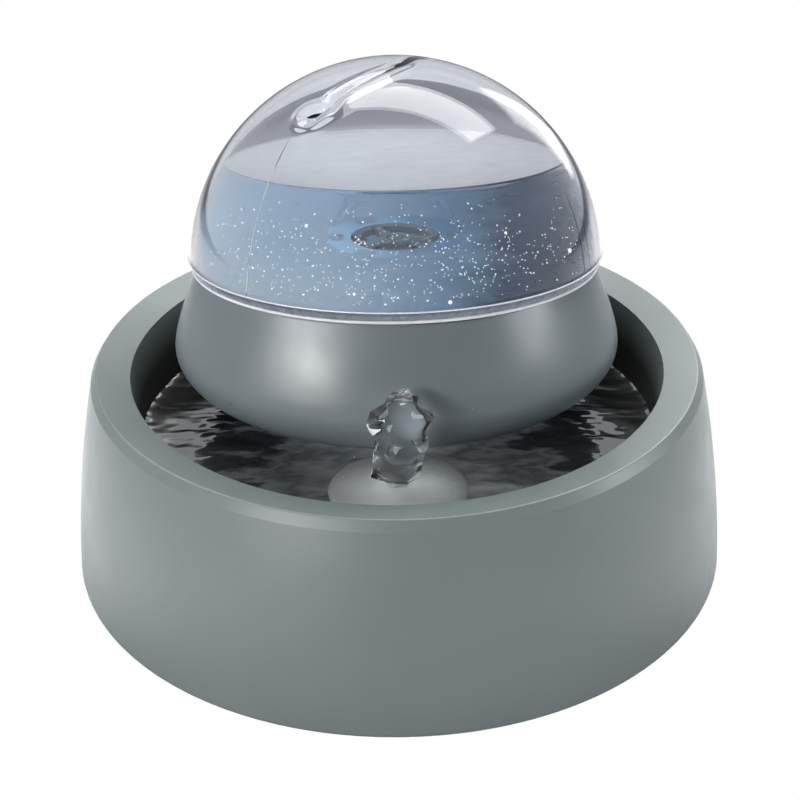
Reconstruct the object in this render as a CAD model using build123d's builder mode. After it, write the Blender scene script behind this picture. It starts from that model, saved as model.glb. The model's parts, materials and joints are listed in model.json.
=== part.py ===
from build123d import *

import math
import os

# Pet water fountain, in millimetres. The origin is the centre of the footprint on the surface that the
# fountain stands on, +Z is up, and the front, with the jet, faces -Y. An upside-down domed tank stands on
# a round tower in the middle of the bowl and keeps the trough full through a feed tube. A pump under the
# tower draws the water through a ring filter and sends it to a low fountain head in front.

# Clearances between pieces
fit_gap = 0.05          # pressed, bonded or screwed together
running_gap = 0.05      # a shaft in its bush
hand_gap = 0.4          # pieces that lift off or turn by hand
wall = 3.0              # moulded walls of the bowl
thin_wall = 2.5         # moulded walls of the tower, the tank and the small parts

# Bowl
base_flare = 14.3           # the foot of the bowl stands out past its shoulder
foot_proud = 1.0            # the rubber feet stand this far below the bowl
base_edge_round = 1.5
shoulder_height = 76.9      # where the rim plane crosses the vertical axis
rim_tilt = 5.9              # degrees, the rim comes down to the front
wall_bulge = 1.6            # outward swell of the outer wall at half height
rim_chamfer_width = 2.3     # from the shoulder in to the crest of the rim
ridge_rise = 3.0
rim_width = 11.6            # dished part, from its crest to its inner edge
rim_dish = 3.8              # the rim falls this far from its crest to its inner edge
rim_thickness = 4.0
rim_overcut = 1.0
ridge_round = 0.6
shoulder_round = 1.0
trough_draft = 4.8          # the trough opens out this much up to the rim
tower_trough_gap = 3.2      # between the tower and the trough, where the tower is nearest
head_trough_gap = 6.5
trough_floor = 20.0
trough_corner_round = 8.0
water_level = 50.0

# Base plate, its screws and the rubber feet
plate_thickness = 2.6
plate_gap = 0.4             # plate set back inside the bottom edge
plate_edge_gap = 1.0        # round the plate, where the outer wall leans in
boss_radius = 4.5
boss_circle = 84.0
screw_radius = 1.4
screw_head_radius = 3.0
screw_head_height = 1.4
screw_length = 9.0
foot_radius = 9.0
foot_recess = 1.5
foot_edge_gap = 5.0         # between the feet and the edge of the plate
corner_count = 4            # feet and screws, one in each quarter
corner_bearing = 45.0

# Inlet jack and internal lead
jack_height = 13.0
jack_panel_inset = 9.0      # flat panel at the back, set in from the foot of the bowl
jack_barrel_radius = 4.0
jack_barrel_length = 9.0
jack_flange_radius = 5.5
jack_flange_thickness = 2.0
jack_bore_radius = 2.75
jack_bore_depth = 9.5
jack_pin_radius = 1.0
jack_pin_length = 8.0
jack_block_size = 9.0
jack_block_length = 7.0
jack_nut_across_flats = 11.0
jack_nut_thickness = 2.5
pocket_width = 18.0
pocket_height = 13.0
pocket_round = 2.0
lead_radius = 1.5
lead_run_height = 8.5       # under the trough floor
lead_bends = [5.0, 6.5, 25.0, 12.0, 12.0]
lead_turn = 60.0            # the lead turns to the middle this far before the jack
lead_straight = 25.0
lead_rise = 10.0
grommet_offset = (19.5, 2.0)    # from the tower axis
grommet_radius = 3.5
grommet_flange_radius = 5.5
grommet_flange_thickness = 1.5

# Tower, round its own axis a little behind the middle of the bowl
tower_axis = (0.0, 8.0)
neck_radius = 46.5
neck_top = 50.0
tower_top = 110.4
tower_flare = [(4.0, 55.5)]     # radius beyond the neck's, and height
tower_profile = [               # radius beyond the dome's, and height
    (-15.8, 60.4),
    (-4.3, 65.4),
    (3.9, 71.2),
    (7.5, 78.5),
    (6.1, 87.0),
    (2.3, 97.0),
    (-3.5, tower_top),
]
locating_ring_width = 1.4
locating_ring_height = 3.0
slot_width = 4.0
slot_height = 14.0
slot_bottom = 25.0
slot_count = 12
slots_left_out = 3          # at the front, where the outlet tube passes
front_bearing = -90.0
ledge_radius = 62.0
ledge_thickness = 3.5
ledge_inset = 1.6           # the ledge ends this far inside the tower's outer face
ledge_drop = 11.0           # top of the ledge below the top of the tower
seat_boss_radius = 3.6
seat_boss_height = 9.0
seat_screw_circle = 66.5

# Reservoir seat in the tower
seat_edge_gap = 4.6         # between the seat and the tower's wall
seat_thickness = 2.5
socket_depth = 11.0
feed_tube_radius = 9.0
feed_bore_radius = 7.0
valve_post_radius = 2.5
post_rib_thickness = 1.6
post_rib_height = 5.0
post_rib_count = 3
gasket_thickness = 2.6
gasket_radius = 13.0
drain_hole_radius = 3.0
drain_hole_circle = 50.0
drain_hole_count = 8

# Reservoir: clear dome, clear floor, cap and valve
dome_radius = 78.3
dome_centre = 103.3
dome_wall = 2.5
flange_height = 3.9         # chamfered foot of the dome
flange_foot_inset = 2.3     # foot of the dome, set in from its full radius
tank_floor_rise = 0.6       # underside of the tank floor above the foot of the dome
tank_floor_thickness = 2.5
lug_size = (5.0, 8.0, 6.0)
lug_count = 4
lug_wall_gap = 0.6
neck_inner_radius = 13.0
neck_outer_radius = 15.5
tank_neck_length = 14.0
cage_radius = 20.0
cage_height = 12.0
cage_crown_radius = 14.0
cage_wall = 2.0
cage_notch_count = 6
cage_notch_width = 6.0
cage_notch_reach = cage_radius / 2
cage_notch_height = 4.0
cap_thickness = 2.0
cap_wall = 3.0
cap_skirt = 11.5
cap_grip_count = 24
cap_grip_radius = 0.7
cap_gasket_thickness = 1.5
port_radius = 6.0
spout_radius = 8.5
spout_length = 3.0
valve_lift = 3.0            # travel of the plunger
plunger_head_radius = 9.0
plunger_head_thickness = 2.0
plunger_stem_radius = 2.0
valve_seal_thickness = 1.0
valve_seal_radius = 8.5
valve_guide_thickness = 2.0
valve_guide_bore = 2.4
valve_guide_hub = 4.6
valve_guide_arm_width = 2.0
valve_guide_arm_count = 3
spring_coil_radius = 3.6
spring_wire_radius = 0.4
spring_turns = 4.5

# Pump
pump_foot_height = 2.0
pump_foot_radius = 3.5
pump_foot_circle = 13.0
pump_foot_count = 3
pump_foot_bearing = 60.0
pump_foot_taper = 15.0
pump_radius = 19.0
pump_rear_offset = 2.0          # pump axis behind the tower axis
motor_height = 11.0
volute_height = 9.0
volute_throat = 0.6         # between the outlet bore and the wall of the chamber
chamber_radius = 14.0
chamber_floor = 1.5
well_radius = 6.4
well_depth = 10.0
stator_inner_radius = 8.0
stator_outer_radius = 16.5
stator_height = 8.0
stator_pole_count = 6
stator_pole_width = 3.2
stator_shoe = 1.2           # ring that joins the ends of the poles
potting_thickness = 1.5
pump_cover_thickness = 2.0
intake_radius = 8.5
intake_hub_radius = 3.5
intake_arm_width = 2.0
intake_arm_count = 3
shaft_radius = 1.0
bush_radius = 2.4
bush_height = 1.6
magnet_radius = 5.6
magnet_bore_radius = 2.6
magnet_height = 7.5
impeller_radius = 11.0
impeller_disc = 1.2
impeller_hub_radius = 2.5
vane_height = 4.5
vane_thickness = 1.2
vane_count = 6
dial_radius = 12.5
dial_thickness = 1.5
dial_pin_radius = 1.6
dial_pin_head_radius = 2.8
dial_pin_head = 1.0
dial_tab_length = 2.0
dial_tab_bearing = 20.0
dial_tab_width = 4.0
cover_screw_circle = 16.5
cover_screw_radius = 0.9
cover_screw_head_radius = 1.7
cover_screw_head_height = 1.0
cover_screw_length = 7.0
cover_screw_count = 4

# Outlet tube, fountain stem and head
outlet_bore_radius = 3.0
outlet_stub_radius = 4.2
outlet_stub_length = 8.0
stem_stub_length = 12.0
tube_wall = 1.6
head_neck_gap = 3.0         # between the head and the tower's neck
stem_radius = 7.5
stem_bore_radius = 4.0
stem_foot_radius = 14.0
stem_foot_thickness = 2.5
stem_sump = 1.5             # the bore goes this far below the inlet
stem_top = 50.5
stem_shoulder_radius = 9.5
stem_shoulder_drop = 7.0
stem_seal_thickness = 1.2
head_radius = 24.5
head_widest = 47.8
head_bottom = 44.2
head_top = 56.6
head_wall = 2.0
head_crown = [(0.62, 1.9), (0.9, 4.9)]      # share of the head's radius, drop below its top
head_crown_slope = (1, -0.05)
head_lip_slope = (-0.5, -1)
head_hollow_radius = 19.6
head_hollow_drop = 1.0
head_lip = 3.0
head_lip_inset = 1.0
jet_radius = 3.2
jet_countersink_radius = 5.0

# Ring filter round the pump
filter_outer_radius = 41.4
filter_inner_radius = 33.0
filter_top = 50.0
filter_floor_gap = 0.5
filter_ring_thickness = 2.0
filter_rib_count = 8
filter_rib_width = 2.4
filter_lip = 1.2
pad_gap = 0.3
notch_gap = 3.0             # the notch for the outlet tube stands this far off it on each side


def upright(axis):
    """Plane through a vertical axis, with radius along its X and height along its Y."""
    return Plane(origin=(axis[0], axis[1], 0), x_dir=(1, 0, 0), z_dir=(0, -1, 0))


def vertical(axis):
    return Axis((axis[0], axis[1], 0), (0, 0, 1))


def level(height, axis=(0.0, 0.0)):
    return Plane(origin=(axis[0], axis[1], height))


def section(points, axis):
    """Closed polygon of (radius, height) points in the plane through a vertical axis."""
    with BuildSketch(upright(axis)) as outline:
        with BuildLine():
            Polyline(*points, close=True)
        make_face()
    return outline.sketch


def ring(inner, outer, bottom, top):
    return [(inner, bottom), (outer, bottom), (outer, top), (inner, top)]


def corners(height, circle, radius, axis=(0.0, 0.0)):
    """Round marks, one in each quarter, on a circle about a vertical axis."""
    with BuildSketch(level(height, axis)) as pattern:
        with PolarLocations(circle, corner_count, start_angle=corner_bearing):
            Circle(radius)
    return pattern.sketch


def whole_circles(part, radius):
    """Edges that run once round a part at a radius."""
    return part.edges().filter_by(lambda edge: abs(edge.length - math.tau * radius) < fit_gap)


def round_mark(height, radius, axis=(0.0, 0.0)):
    with BuildSketch(level(height, axis)) as mark:
        Circle(radius)
    return mark.sketch


def tilted(height, degrees):
    """Plane through the vertical axis at a height, leaning down to the front."""
    lean = math.radians(degrees)
    return Plane(origin=(0, 0, height), x_dir=(1, 0, 0), z_dir=(0, -math.sin(lean), math.cos(lean)))


def inset_outline(points, inset):
    """The outline moved towards the axis and along its own normals, kept level at its two ends."""
    moved = []
    for index in range(1, len(points) - 1):
        before, here, after = points[index - 1], points[index], points[index + 1]
        along = (after[0] - before[0], after[1] - before[1])
        length = math.hypot(*along)
        moved.append((here[0] - inset * along[1] / length, here[1] + inset * along[0] / length))
    top_run = (points[-1][0] - points[-2][0], points[-1][1] - points[-2][1])
    top_inset = inset * math.hypot(*top_run) / top_run[1]
    first = (points[0][0] - inset, points[0][1] + inset)
    last = (points[-1][0] - top_inset, points[-1][1])
    return [first] + moved + [last]


def outline_radius(height):
    """Radius of the tower's outside at a height, between its outline points."""
    for low, high in zip(tower_outline, tower_outline[1:]):
        if low[1] <= height <= high[1]:
            share = (height - low[1]) / (high[1] - low[1])
            return low[0] + share * (high[0] - low[0])
    return neck_radius


# Places that follow from the sizes above
tower_y = tower_axis[1]
tower_outline = [
    (neck_radius, neck_top),
    *[(neck_radius + beyond, height) for beyond, height in tower_flare],
    *[(dome_radius + beyond, height) for beyond, height in tower_profile],
]
tower_widest_radius = max(radius for radius, height in tower_outline)
stem_y = tower_y - neck_radius - head_neck_gap - head_radius
trough_radius = max(tower_widest_radius + tower_y + tower_trough_gap, head_radius - stem_y + head_trough_gap)
rim_inner_radius = trough_radius + trough_draft
ridge_radius = rim_inner_radius + rim_width
shoulder_radius = ridge_radius + rim_chamfer_width
base_radius = shoulder_radius + base_flare
jack_panel = base_radius - jack_panel_inset
bowl_bottom = foot_proud
floor_underside = trough_floor - wall
half_height = (bowl_bottom + shoulder_height) / 2
half_radius = (base_radius + shoulder_radius) / 2 + wall_bulge
rim_plane = tilted(shoulder_height, rim_tilt)
rim_axis = Axis(rim_plane.origin, rim_plane.z_dir)
rim_section = Plane(
    origin=rim_plane.origin,
    x_dir=(1, 0, 0),
    z_dir=(0, -math.cos(math.radians(rim_tilt)), -math.sin(math.radians(rim_tilt))),
)
rim_inner_rise = ridge_rise - rim_dish
chamfer_slope = (shoulder_radius - ridge_radius) / ridge_rise
dish_slope = (ridge_radius - rim_inner_radius) / rim_dish
rim_cut_top = ridge_rise + rim_overcut
trough_slope = (rim_inner_radius - trough_radius) / (shoulder_height - trough_floor)
plate_bottom = bowl_bottom + plate_gap
plate_top = plate_bottom + plate_thickness
plate_radius = base_radius - wall - plate_edge_gap
foot_circle = plate_radius - foot_edge_gap - foot_radius

seat_bottom = tower_top - ledge_drop
seat_top = seat_bottom + seat_thickness
seat_radius = outline_radius(seat_top) - thin_wall - seat_edge_gap
tank_floor_bottom = tower_top + tank_floor_rise
tank_floor_top = tank_floor_bottom + tank_floor_thickness
flange_top = tower_top + flange_height
tank_neck_bottom = tank_floor_bottom - tank_neck_length
cap_floor_top = tank_neck_bottom - cap_gasket_thickness
cap_floor_bottom = cap_floor_top - cap_thickness
cap_inner_radius = neck_outer_radius + hand_gap
cap_outer_radius = cap_inner_radius + cap_wall
spout_bottom = cap_floor_bottom - spout_length
gasket_top = spout_bottom - hand_gap
socket_floor = gasket_top - gasket_thickness
socket_radius = cap_outer_radius + hand_gap + cap_grip_radius
seal_bottom = cap_floor_top + valve_lift + fit_gap
head_bottom_of_plunger = seal_bottom + valve_seal_thickness
head_top_of_plunger = head_bottom_of_plunger + plunger_head_thickness
guide_top = tank_floor_top
guide_bottom = guide_top - valve_guide_thickness
post_top = spout_bottom + spout_length / 2

outlet_offset = chamber_radius - outlet_bore_radius - volute_throat
pump_axis = (-outlet_offset, tower_y + pump_rear_offset)
motor_bottom = trough_floor + pump_foot_height
motor_top = motor_bottom + motor_height
volute_top = motor_top + volute_height
chamber_bottom = motor_top + chamber_floor
outlet_height = (motor_top + volute_top) / 2
cover_top = volute_top + pump_cover_thickness
dial_bottom = cover_top + hand_gap
dial_top = dial_bottom + dial_thickness
well_bottom = motor_top - well_depth
outlet_x = pump_axis[0] + outlet_offset
stub_front = pump_axis[1] - pump_radius - outlet_stub_length
stem_axis = (outlet_x, stem_y)
tube_outer_radius = outlet_stub_radius + fit_gap + tube_wall
notch_half = tube_outer_radius + notch_gap
grommet_axis = (tower_axis[0] + grommet_offset[0], tower_y + grommet_offset[1])
lead_exit_height = motor_bottom + motor_height / 2


# Bowl: double-walled shell, open below, with the trough and its tilted, dished rim.
with BuildPart() as trough_space:
    with BuildSketch(level(trough_floor)):
        Circle(trough_radius)
    with BuildSketch(rim_plane.offset(rim_cut_top)):
        Circle(rim_inner_radius + rim_cut_top * trough_slope)
    loft(ruled=True)
    fillet(trough_space.faces().sort_by(Axis.Z)[0].edges(), trough_corner_round)

with BuildPart() as underside_space:
    with BuildSketch(level(0)):
        Circle(base_radius - wall)
    with BuildSketch(tilted(half_height, rim_tilt / 2)):
        Circle(half_radius - wall)
    with BuildSketch(rim_plane.offset(-rim_thickness)):
        Circle(shoulder_radius - wall)
    loft()
    with BuildSketch(level(floor_underside)):
        Circle(trough_radius + wall)
    with BuildSketch(rim_plane):
        Circle(rim_inner_radius + wall)
    loft(ruled=True, mode=Mode.SUBTRACT)
    extrude(corners(plate_top, boss_circle, boss_radius), amount=floor_underside, mode=Mode.SUBTRACT)
    with BuildSketch(level(plate_top + hand_gap)):
        with Locations((0, jack_panel - wall + base_radius / 2)):
            Rectangle(pocket_width + 2 * wall, base_radius)
    extrude(amount=jack_height + pocket_height / 2 + wall - plate_top, mode=Mode.SUBTRACT)

with BuildPart() as bowl_shell:
    with BuildSketch(level(bowl_bottom)):
        Circle(base_radius)
    with BuildSketch(tilted(half_height, rim_tilt / 2)):
        Circle(half_radius)
    with BuildSketch(rim_plane):
        Circle(shoulder_radius)
    loft()
    with BuildSketch(rim_section):
        with BuildLine():
            Polyline(
                (0, 0),
                (shoulder_radius, 0),
                (shoulder_radius - rim_cut_top * chamfer_slope, rim_cut_top),
                (0, rim_cut_top),
                close=True,
            )
        make_face()
    revolve(axis=rim_axis)
    with BuildSketch(rim_section):
        with BuildLine():
            Polyline(
                (0, rim_inner_rise),
                (rim_inner_radius, rim_inner_rise),
                (rim_inner_radius + (rim_cut_top - rim_inner_rise) * dish_slope, rim_cut_top),
                (0, rim_cut_top),
                close=True,
            )
        make_face()
    revolve(axis=rim_axis, mode=Mode.SUBTRACT)
    fillet(whole_circles(bowl_shell, base_radius), base_edge_round)
    fillet(whole_circles(bowl_shell, shoulder_radius), shoulder_round)
    fillet(whole_circles(bowl_shell, ridge_radius), ridge_round)
    add(trough_space.part, mode=Mode.SUBTRACT)
    add(underside_space.part, mode=Mode.SUBTRACT)
    revolve(
        section(
            ring(
                neck_radius - thin_wall - hand_gap - locating_ring_width,
                neck_radius - thin_wall - hand_gap,
                trough_floor - fit_gap,
                trough_floor + locating_ring_height,
            ),
            tower_axis,
        ),
        axis=vertical(tower_axis),
    )
    with BuildSketch(Plane.XZ.offset(-jack_panel)):
        with Locations((0, jack_height)):
            RectangleRounded(pocket_width, pocket_height, pocket_round)
    extrude(amount=-base_radius, mode=Mode.SUBTRACT)
    with BuildSketch(Plane.XZ.offset(-jack_panel)):
        with Locations((0, jack_height)):
            Circle(jack_barrel_radius + fit_gap)
    extrude(amount=2 * wall, mode=Mode.SUBTRACT)
    extrude(corners(plate_top, boss_circle, screw_radius + fit_gap), amount=screw_length, mode=Mode.SUBTRACT)
    grommet_hole = round_mark(floor_underside - fit_gap, grommet_radius + fit_gap, grommet_axis)
    extrude(grommet_hole, amount=2 * wall, mode=Mode.SUBTRACT)

with BuildPart() as base_plate:
    extrude(round_mark(plate_bottom, plate_radius), amount=plate_thickness)
    feet = corners(plate_bottom, foot_circle, foot_radius + fit_gap)
    extrude(feet, amount=foot_recess, mode=Mode.SUBTRACT)
    heads = corners(plate_bottom, boss_circle, screw_head_radius + hand_gap)
    extrude(heads, amount=screw_head_height, mode=Mode.SUBTRACT)
    holes = corners(plate_bottom, boss_circle, screw_radius + hand_gap)
    extrude(holes, amount=plate_thickness, mode=Mode.SUBTRACT)

with BuildPart() as base_screws:
    extrude(corners(plate_bottom, boss_circle, screw_head_radius), amount=screw_head_height)
    shanks = corners(plate_bottom, boss_circle, screw_radius)
    extrude(shanks, amount=plate_thickness + screw_length - hand_gap)


def rubber_foot(degrees):
    place = (foot_circle * math.cos(math.radians(degrees)), foot_circle * math.sin(math.radians(degrees)))
    with BuildPart() as foot:
        extrude(round_mark(0, foot_radius, place), amount=plate_bottom + foot_recess)
        chamfer(foot.faces().sort_by(Axis.Z)[0].edges(), foot_proud / 2)
    return foot


# Inlet jack in the flat panel at the back, and the lead from it to the pump.
jack_plane = Plane.XZ.offset(-jack_panel)
jack_point = (0, jack_height)
with BuildPart() as jack_body:
    with BuildSketch(jack_plane):
        with Locations(jack_point):
            Circle(jack_flange_radius)
    extrude(amount=-jack_flange_thickness)
    with BuildSketch(jack_plane):
        with Locations(jack_point):
            Circle(jack_barrel_radius)
    extrude(amount=jack_barrel_length)
    with BuildSketch(jack_plane.offset(jack_barrel_length)):
        with Locations(jack_point):
            Rectangle(jack_block_size, jack_block_size - 2 * fit_gap)
    extrude(amount=jack_block_length)
    with BuildSketch(jack_plane.offset(-jack_flange_thickness)):
        with Locations(jack_point):
            Circle(jack_bore_radius)
    extrude(amount=jack_bore_depth, mode=Mode.SUBTRACT)

with BuildPart() as jack_nut:
    with BuildSketch(jack_plane.offset(wall)):
        with Locations(jack_point):
            RegularPolygon(jack_nut_across_flats / 2, 6, major_radius=False)
            Circle(jack_barrel_radius + fit_gap, mode=Mode.SUBTRACT)
    extrude(amount=jack_nut_thickness)

with BuildPart() as jack_pin:
    with BuildSketch(jack_plane.offset(jack_bore_depth - jack_flange_thickness)):
        with Locations(jack_point):
            Circle(jack_pin_radius)
    extrude(amount=-jack_pin_length)

with BuildPart() as lead_grommet:
    flange_low = floor_underside - grommet_flange_thickness
    flange_high = trough_floor + grommet_flange_thickness
    revolve(
        section(
            [
                (lead_radius + fit_gap, flange_low),
                (grommet_flange_radius, flange_low),
                (grommet_flange_radius, floor_underside),
                (grommet_radius, floor_underside),
                (grommet_radius, trough_floor),
                (grommet_flange_radius, trough_floor),
                (grommet_flange_radius, flange_high),
                (lead_radius + fit_gap, flange_high),
            ],
            grommet_axis,
        ),
        axis=vertical(grommet_axis),
    )

lead_start = (pump_axis[0] + pump_radius, grommet_axis[1], lead_exit_height)
lead_end = (0, jack_panel - jack_barrel_length - jack_block_length, jack_height)
lead_points = [
    lead_start,
    (grommet_axis[0], grommet_axis[1], lead_exit_height),
    (grommet_axis[0], grommet_axis[1], lead_run_height),
    (grommet_axis[0], lead_end[1] - lead_turn, lead_run_height),
    (0, lead_end[1] - lead_straight, lead_run_height),
    (0, lead_end[1] - lead_rise, jack_height),
    lead_end,
]
with BuildPart() as pump_lead:
    with BuildLine():
        lead_line = FilletPolyline(*lead_points, radius=lead_bends)
    with BuildSketch(Plane(origin=lead_line @ 0, z_dir=lead_line % 0)):
        Circle(lead_radius)
    sweep()

# Tower: the round housing that covers the pump and carries the tank.
tower_inside = inset_outline(tower_outline, thin_wall)
with BuildPart() as tower_shell:
    with BuildSketch(upright(tower_axis)):
        with BuildLine():
            Spline(*tower_outline)
            Line(tower_outline[-1], tower_inside[-1])
            Spline(*tower_inside)
            Polyline(
                tower_inside[0],
                (neck_radius - thin_wall, trough_floor),
                (neck_radius, trough_floor),
                tower_outline[0],
            )
        make_face()
    revolve(axis=vertical(tower_axis))
    ledge_bottom = seat_bottom - ledge_thickness
    ledge_outer_low = outline_radius(ledge_bottom) - ledge_inset
    ledge_outer_high = outline_radius(seat_bottom) - ledge_inset
    revolve(
        section(
            [
                (ledge_radius, ledge_bottom),
                (ledge_outer_low, ledge_bottom),
                (ledge_outer_high, seat_bottom),
                (ledge_radius, seat_bottom),
            ],
            tower_axis,
        ),
        axis=vertical(tower_axis),
    )
    extrude(corners(seat_bottom, seat_screw_circle, seat_boss_radius, tower_axis), amount=-seat_boss_height)
    seat_holes = corners(seat_bottom, seat_screw_circle, screw_radius + fit_gap, tower_axis)
    extrude(seat_holes, amount=-screw_length, mode=Mode.SUBTRACT)
    slot_step = 360 / slot_count
    first_slot = front_bearing + slot_step * (slots_left_out + 1) / 2
    for index in range(slot_count - slots_left_out):
        bearing = math.radians(first_slot + index * slot_step)
        outward = (math.cos(bearing), math.sin(bearing), 0)
        slot_plane = Plane(
            origin=(tower_axis[0], tower_y, slot_bottom + slot_height / 2),
            x_dir=(0, 0, 1),
            z_dir=outward,
        )
        with BuildSketch(slot_plane):
            SlotOverall(slot_height, slot_width)
        extrude(amount=neck_radius + thin_wall, mode=Mode.SUBTRACT)
    with BuildSketch(Plane.XZ.offset(-tower_y)):
        with Locations((outlet_x, outlet_height)):
            Circle(notch_half)
        with Locations((outlet_x, (outlet_height + trough_floor) / 2)):
            Rectangle(2 * notch_half, outlet_height - trough_floor)
    extrude(amount=neck_radius + thin_wall, mode=Mode.SUBTRACT)

# Reservoir seat: deck, socket for the cap, post that opens the valve, and the feed tube.
with BuildPart() as reservoir_seat:
    revolve(
        section(
            [
                (feed_bore_radius, socket_floor - seat_thickness),
                (feed_bore_radius, water_level),
                (feed_tube_radius, water_level),
                (feed_tube_radius, socket_floor - seat_thickness),
                (socket_radius + seat_thickness, socket_floor - seat_thickness),
                (socket_radius + seat_thickness, seat_bottom),
                (seat_radius, seat_bottom),
                (seat_radius, seat_top),
                (socket_radius, seat_top),
                (socket_radius, socket_floor),
                (feed_bore_radius, socket_floor),
            ],
            tower_axis,
        ),
        axis=vertical(tower_axis),
    )
    post = round_mark(socket_floor - seat_thickness, valve_post_radius, tower_axis)
    extrude(post, amount=post_top - socket_floor + seat_thickness)
    extrude(post, amount=-post_rib_height)
    with BuildSketch(level(socket_floor - seat_thickness, tower_axis)):
        with PolarLocations(0, post_rib_count):
            Rectangle(
                feed_bore_radius + fit_gap, post_rib_thickness, align=(Align.MIN, Align.CENTER)
            )
    extrude(amount=-post_rib_height)
    with BuildSketch(level(seat_bottom, tower_axis)):
        with PolarLocations(drain_hole_circle, drain_hole_count):
            Circle(drain_hole_radius)
    extrude(amount=seat_thickness, mode=Mode.SUBTRACT)
    seat_clearance = corners(seat_bottom, seat_screw_circle, screw_radius + hand_gap, tower_axis)
    extrude(seat_clearance, amount=seat_thickness, mode=Mode.SUBTRACT)

with BuildPart() as seat_screws:
    extrude(corners(seat_top, seat_screw_circle, screw_head_radius, tower_axis), amount=screw_head_height)
    seat_shanks = corners(seat_top, seat_screw_circle, screw_radius, tower_axis)
    extrude(seat_shanks, amount=-(seat_thickness + screw_length - hand_gap))

with BuildPart() as socket_gasket:
    revolve(
        section(ring(feed_bore_radius, gasket_radius, socket_floor, gasket_top), tower_axis),
        axis=vertical(tower_axis),
    )

# Reservoir: clear dome on a clear floor with a neck, closed by a cap with a valve.
dome_inner_radius = dome_radius - dome_wall
flange_radius = math.sqrt(dome_radius**2 - (flange_top - dome_centre) ** 2)
dome_foot_inner = math.sqrt(dome_inner_radius**2 - (tower_top - dome_centre) ** 2)
with BuildPart() as reservoir_dome:
    with BuildSketch(upright(tower_axis)):
        with BuildLine():
            RadiusArc(
                (flange_radius, flange_top),
                (0, dome_centre + dome_radius),
                -dome_radius,
            )
            Line((0, dome_centre + dome_radius), (0, dome_centre + dome_inner_radius))
            RadiusArc(
                (0, dome_centre + dome_inner_radius),
                (dome_foot_inner, tower_top),
                dome_inner_radius,
            )
            Polyline(
                (dome_foot_inner, tower_top),
                (dome_radius - flange_foot_inset, tower_top),
                (flange_radius, flange_top),
            )
        make_face()
    revolve(axis=vertical(tower_axis))

floor_edge_low = math.sqrt(dome_inner_radius**2 - (tank_floor_bottom - dome_centre) ** 2) - fit_gap
floor_edge_high = math.sqrt(dome_inner_radius**2 - (tank_floor_top - dome_centre) ** 2) - fit_gap
with BuildPart() as reservoir_floor:
    revolve(
        section(
            [
                (neck_inner_radius, tank_neck_bottom),
                (neck_outer_radius, tank_neck_bottom),
                (neck_outer_radius, tank_floor_bottom),
                (floor_edge_low, tank_floor_bottom),
                (floor_edge_high, tank_floor_top),
                (neck_inner_radius, tank_floor_top),
            ],
            tower_axis,
        ),
        axis=vertical(tower_axis),
    )
    lug_outer = math.sqrt(
        dome_inner_radius**2 - (tank_floor_top + lug_size[2] - dome_centre) ** 2
    ) - lug_wall_gap
    with BuildSketch(level(tank_floor_top, tower_axis)):
        with PolarLocations(lug_outer - lug_size[0] / 2, lug_count, start_angle=0):
            Rectangle(lug_size[0], lug_size[1])
    extrude(amount=lug_size[2])

with BuildPart() as strainer_cage:
    cage_top = tank_floor_top + cage_height
    revolve(
        section(
            [
                (neck_inner_radius + fit_gap, tank_floor_top),
                (cage_radius, tank_floor_top),
                (cage_crown_radius, cage_top),
                (0, cage_top + cage_wall),
                (0, cage_top),
                (cage_crown_radius - cage_wall, cage_top - cage_wall),
                (cage_radius - cage_wall, tank_floor_top + cage_wall),
                (neck_inner_radius + fit_gap, tank_floor_top + cage_wall),
            ],
            tower_axis,
        ),
        axis=vertical(tower_axis),
    )
    with BuildSketch(level(tank_floor_top, tower_axis)):
        with PolarLocations(cage_radius, cage_notch_count):
            Rectangle(cage_notch_reach, cage_notch_width)
    extrude(amount=cage_notch_height, mode=Mode.SUBTRACT)

with BuildPart() as valve_guide:
    with BuildSketch(level(guide_bottom, tower_axis)):
        Circle(neck_inner_radius - fit_gap)
        Circle(neck_inner_radius - thin_wall, mode=Mode.SUBTRACT)
        with PolarLocations(0, valve_guide_arm_count):
            Rectangle(
                neck_inner_radius - thin_wall / 2, valve_guide_arm_width, align=(Align.MIN, Align.CENTER)
            )
        Circle(valve_guide_hub)
        Circle(valve_guide_bore, mode=Mode.SUBTRACT)
    extrude(amount=valve_guide_thickness)

with BuildPart() as reservoir_cap:
    revolve(
        section(
            [
                (port_radius, spout_bottom),
                (spout_radius, spout_bottom),
                (spout_radius, cap_floor_bottom),
                (cap_outer_radius, cap_floor_bottom),
                (cap_outer_radius, cap_floor_top + cap_skirt),
                (cap_inner_radius, cap_floor_top + cap_skirt),
                (cap_inner_radius, cap_floor_top),
                (port_radius, cap_floor_top),
            ],
            tower_axis,
        ),
        axis=vertical(tower_axis),
    )
    with BuildSketch(level(cap_floor_bottom, tower_axis)):
        with PolarLocations(cap_outer_radius, cap_grip_count):
            Circle(cap_grip_radius)
    extrude(amount=cap_thickness + cap_skirt)

with BuildPart() as cap_gasket:
    revolve(
        section(
            ring(neck_inner_radius, neck_outer_radius, cap_floor_top, tank_neck_bottom - fit_gap),
            tower_axis,
        ),
        axis=vertical(tower_axis),
    )

with BuildPart() as valve_plunger:
    revolve(
        section(
            [
                (0, post_top + fit_gap),
                (plunger_stem_radius, post_top + fit_gap),
                (plunger_stem_radius, head_bottom_of_plunger),
                (plunger_head_radius, head_bottom_of_plunger),
                (plunger_head_radius, head_top_of_plunger),
                (plunger_stem_radius, head_top_of_plunger),
                (plunger_stem_radius, guide_top),
                (0, guide_top),
            ],
            tower_axis,
        ),
        axis=vertical(tower_axis),
    )

with BuildPart() as valve_seal:
    revolve(
        section(
            ring(plunger_stem_radius + fit_gap, valve_seal_radius, seal_bottom, head_bottom_of_plunger),
            tower_axis,
        ),
        axis=vertical(tower_axis),
    )

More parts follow.
